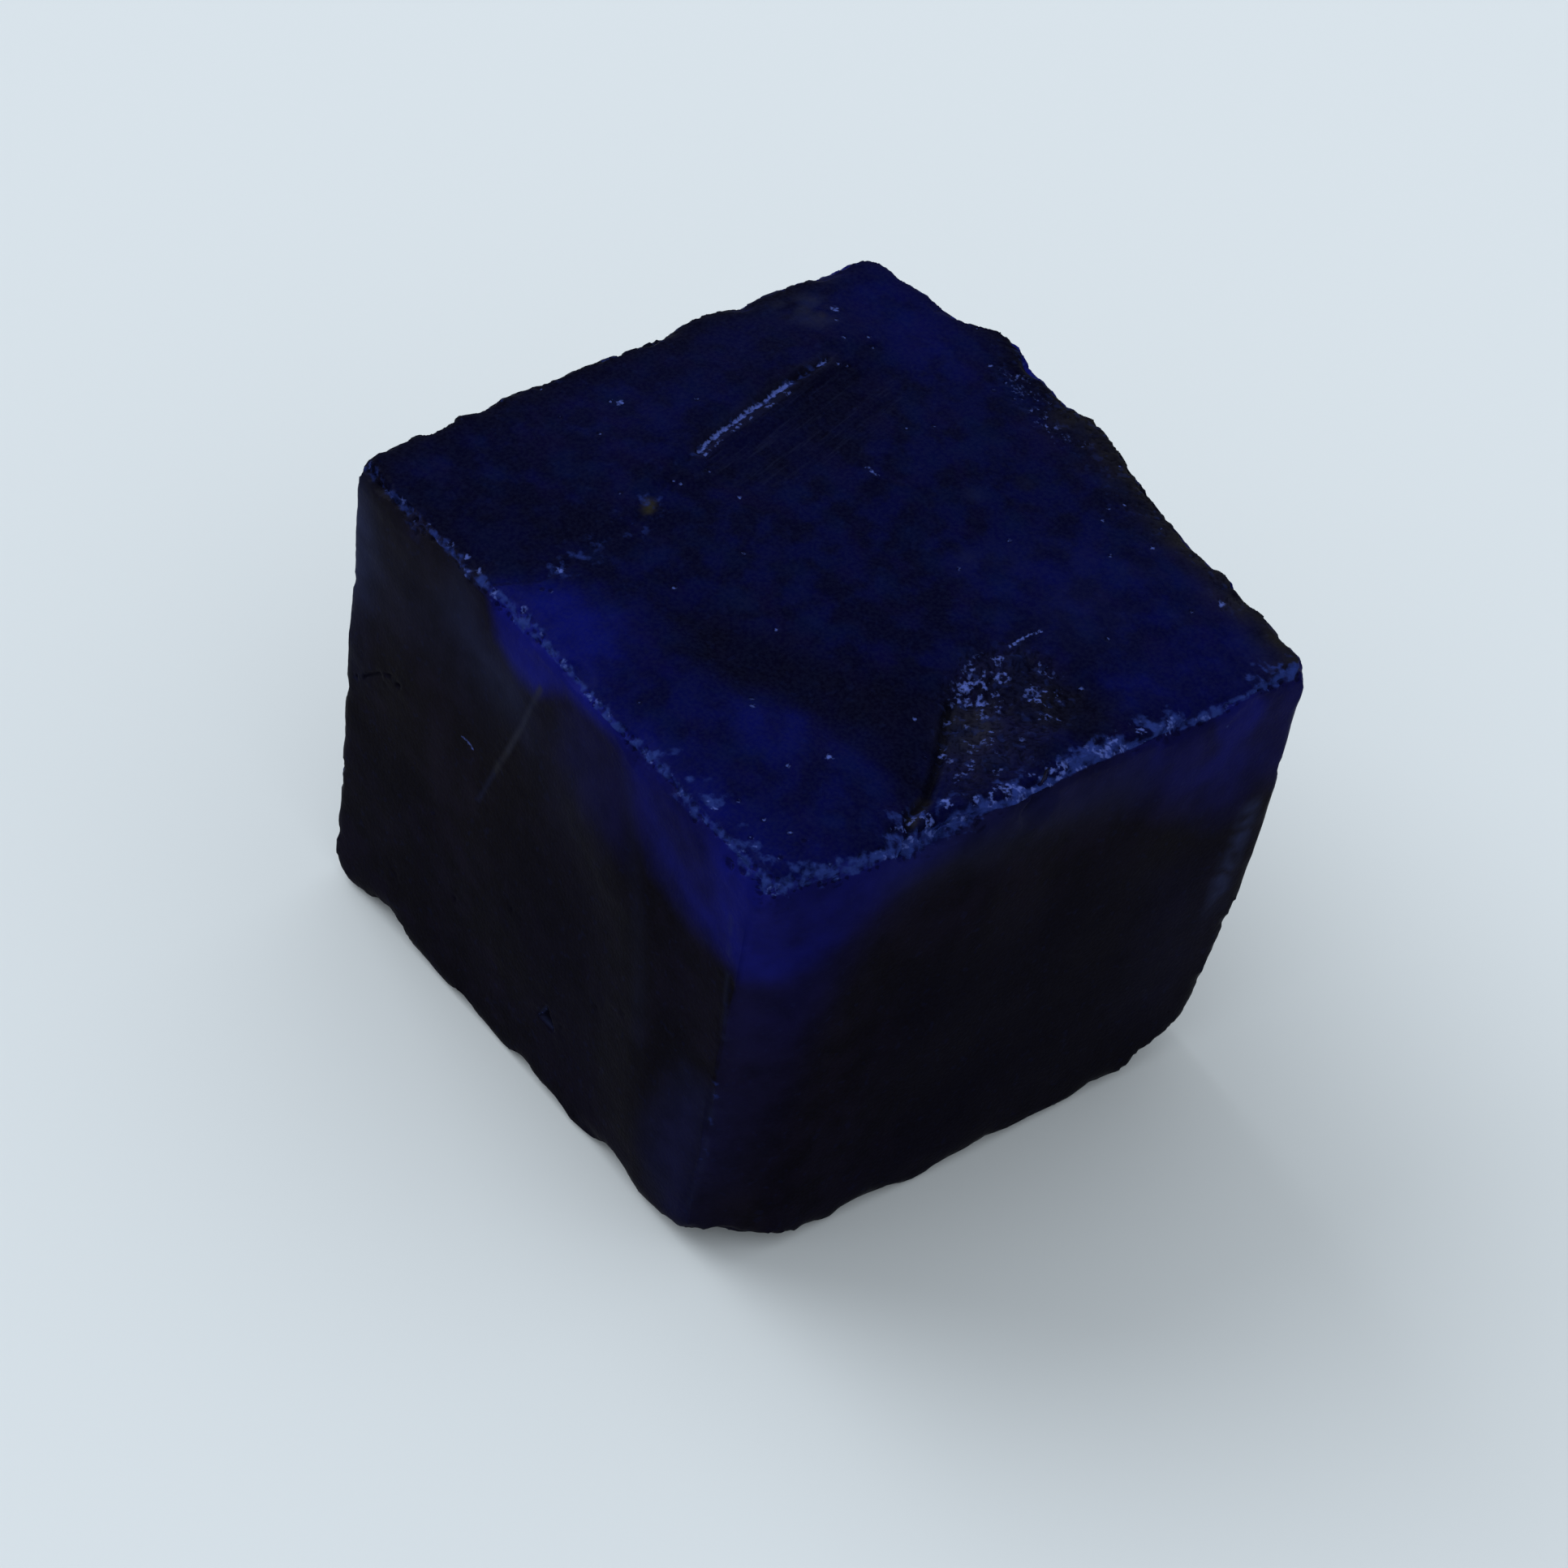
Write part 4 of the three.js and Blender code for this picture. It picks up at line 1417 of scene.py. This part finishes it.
def subdivide(piece: bpy.types.Object, chosen: np.ndarray) -> None:
    """Cut every face with a chosen vertex into quarters.

    Args:
        piece: The piece to refine.
        chosen: True for each vertex whose faces are cut.
    """
    choose(piece)
    mesh = piece.data
    faces = [bool(chosen[list(face.vertices)].any()) for face in mesh.polygons]
    bpy.ops.object.mode_set(mode="EDIT")
    bpy.ops.mesh.select_mode(type="FACE")
    bpy.ops.mesh.select_all(action="DESELECT")
    bpy.ops.object.mode_set(mode="OBJECT")
    mesh.polygons.foreach_set("select", faces)
    bpy.ops.object.mode_set(mode="EDIT")
    bpy.ops.mesh.subdivide(number_cuts=1, ngon=False)
    bpy.ops.object.mode_set(mode="OBJECT")


# ------------------------------------------------------------------------------------------------
# The studio
# ------------------------------------------------------------------------------------------------


@dataclass(frozen=True)
class Daylight:
    """A broad, soft light from far off, as from a large window."""

    name: str
    comes_from: Triple
    spread: float
    strength: float
    colour: Colour = (1.0, 1.0, 1.0)

    def build(self) -> bpy.types.Object:
        """Set the light up.

        Returns:
            The light's object.
        """
        bpy.ops.object.light_add(type="SUN")
        light = bpy.context.object
        light.name = self.name
        light.data.angle = math.radians(self.spread)
        light.data.energy = self.strength
        light.data.color = self.colour
        light.rotation_euler = Vector(self.comes_from).to_track_quat("Z", "Y").to_euler()
        return light


@dataclass
class Studio:
    """The floor, the window light and the even light from all round."""

    floor_width: float = 3000.0
    air: Colour = (0.70, 0.78, 0.84)
    air_strength: float = 1.0
    lights: tuple[Daylight, ...] = (
        Daylight("window", (-0.75, -0.22, 0.66), spread=50.0, strength=1.7, colour=(0.84, 0.93, 1.0)),
    )

    def build(self) -> bpy.types.Object:
        """Set up the studio.

        Returns:
            The floor.
        """
        bpy.ops.mesh.primitive_plane_add(size=self.floor_width * MM)
        floor = bpy.context.object
        floor.name = "floor"
        floor.data.materials.append(FloorFinish().material())
        world = bpy.data.worlds.new("even light")
        world.use_nodes = True
        background = world.node_tree.nodes["Background"]
        background.inputs["Color"].default_value = solid(self.air)
        background.inputs["Strength"].default_value = self.air_strength
        bpy.context.scene.world = world
        for light in self.lights:
            light.build()
        bpy.context.scene.view_settings.view_transform = "Standard"
        return floor


@dataclass(frozen=True)
class Camera:
    """The camera: a long lens above the stone's front right edge, turned a little about its own axis."""

    aim: Triple = (0.15, -1.25, 8.93)
    distance: float = 160.8
    azimuth: float = 46.76
    elevation: float = 44.39
    roll: float = 9.19
    lens: float = 102.48
    sensor: float = 36.0

    def build(self) -> bpy.types.Object:
        """Place the camera and make it the scene's.

        Returns:
            The camera's object.
        """
        around, above = math.radians(self.azimuth), math.radians(self.elevation)
        outwards = math.cos(above)
        back = Vector((math.sin(around) * outwards, -math.cos(around) * outwards, math.sin(above)))
        bpy.ops.object.camera_add(location=(Vector(self.aim) + back * self.distance) * MM)
        camera = bpy.context.object
        upright = (-back).to_track_quat("-Z", "Y").to_matrix()
        camera.rotation_euler = (upright @ Matrix.Rotation(math.radians(self.roll), 3, "Z")).to_euler()
        camera.data.lens = self.lens
        camera.data.sensor_width = self.sensor
        camera.data.clip_start = MM
        bpy.context.scene.camera = camera
        return camera


def main() -> None:
    """Build the stone and its studio, and log the stone's triangle count."""
    logging.basicConfig(level=logging.INFO, format="%(name)s: %(message)s")
    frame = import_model()
    Camera().build()
    Studio().build()
    log.info("studio and camera set up")
    stone = RoughCrystal().build(frame)
    log.info("%s has %d triangles", stone.name, sum(len(face.vertices) - 2 for face in stone.data.polygons))


if __name__ == "__main__":
    main()
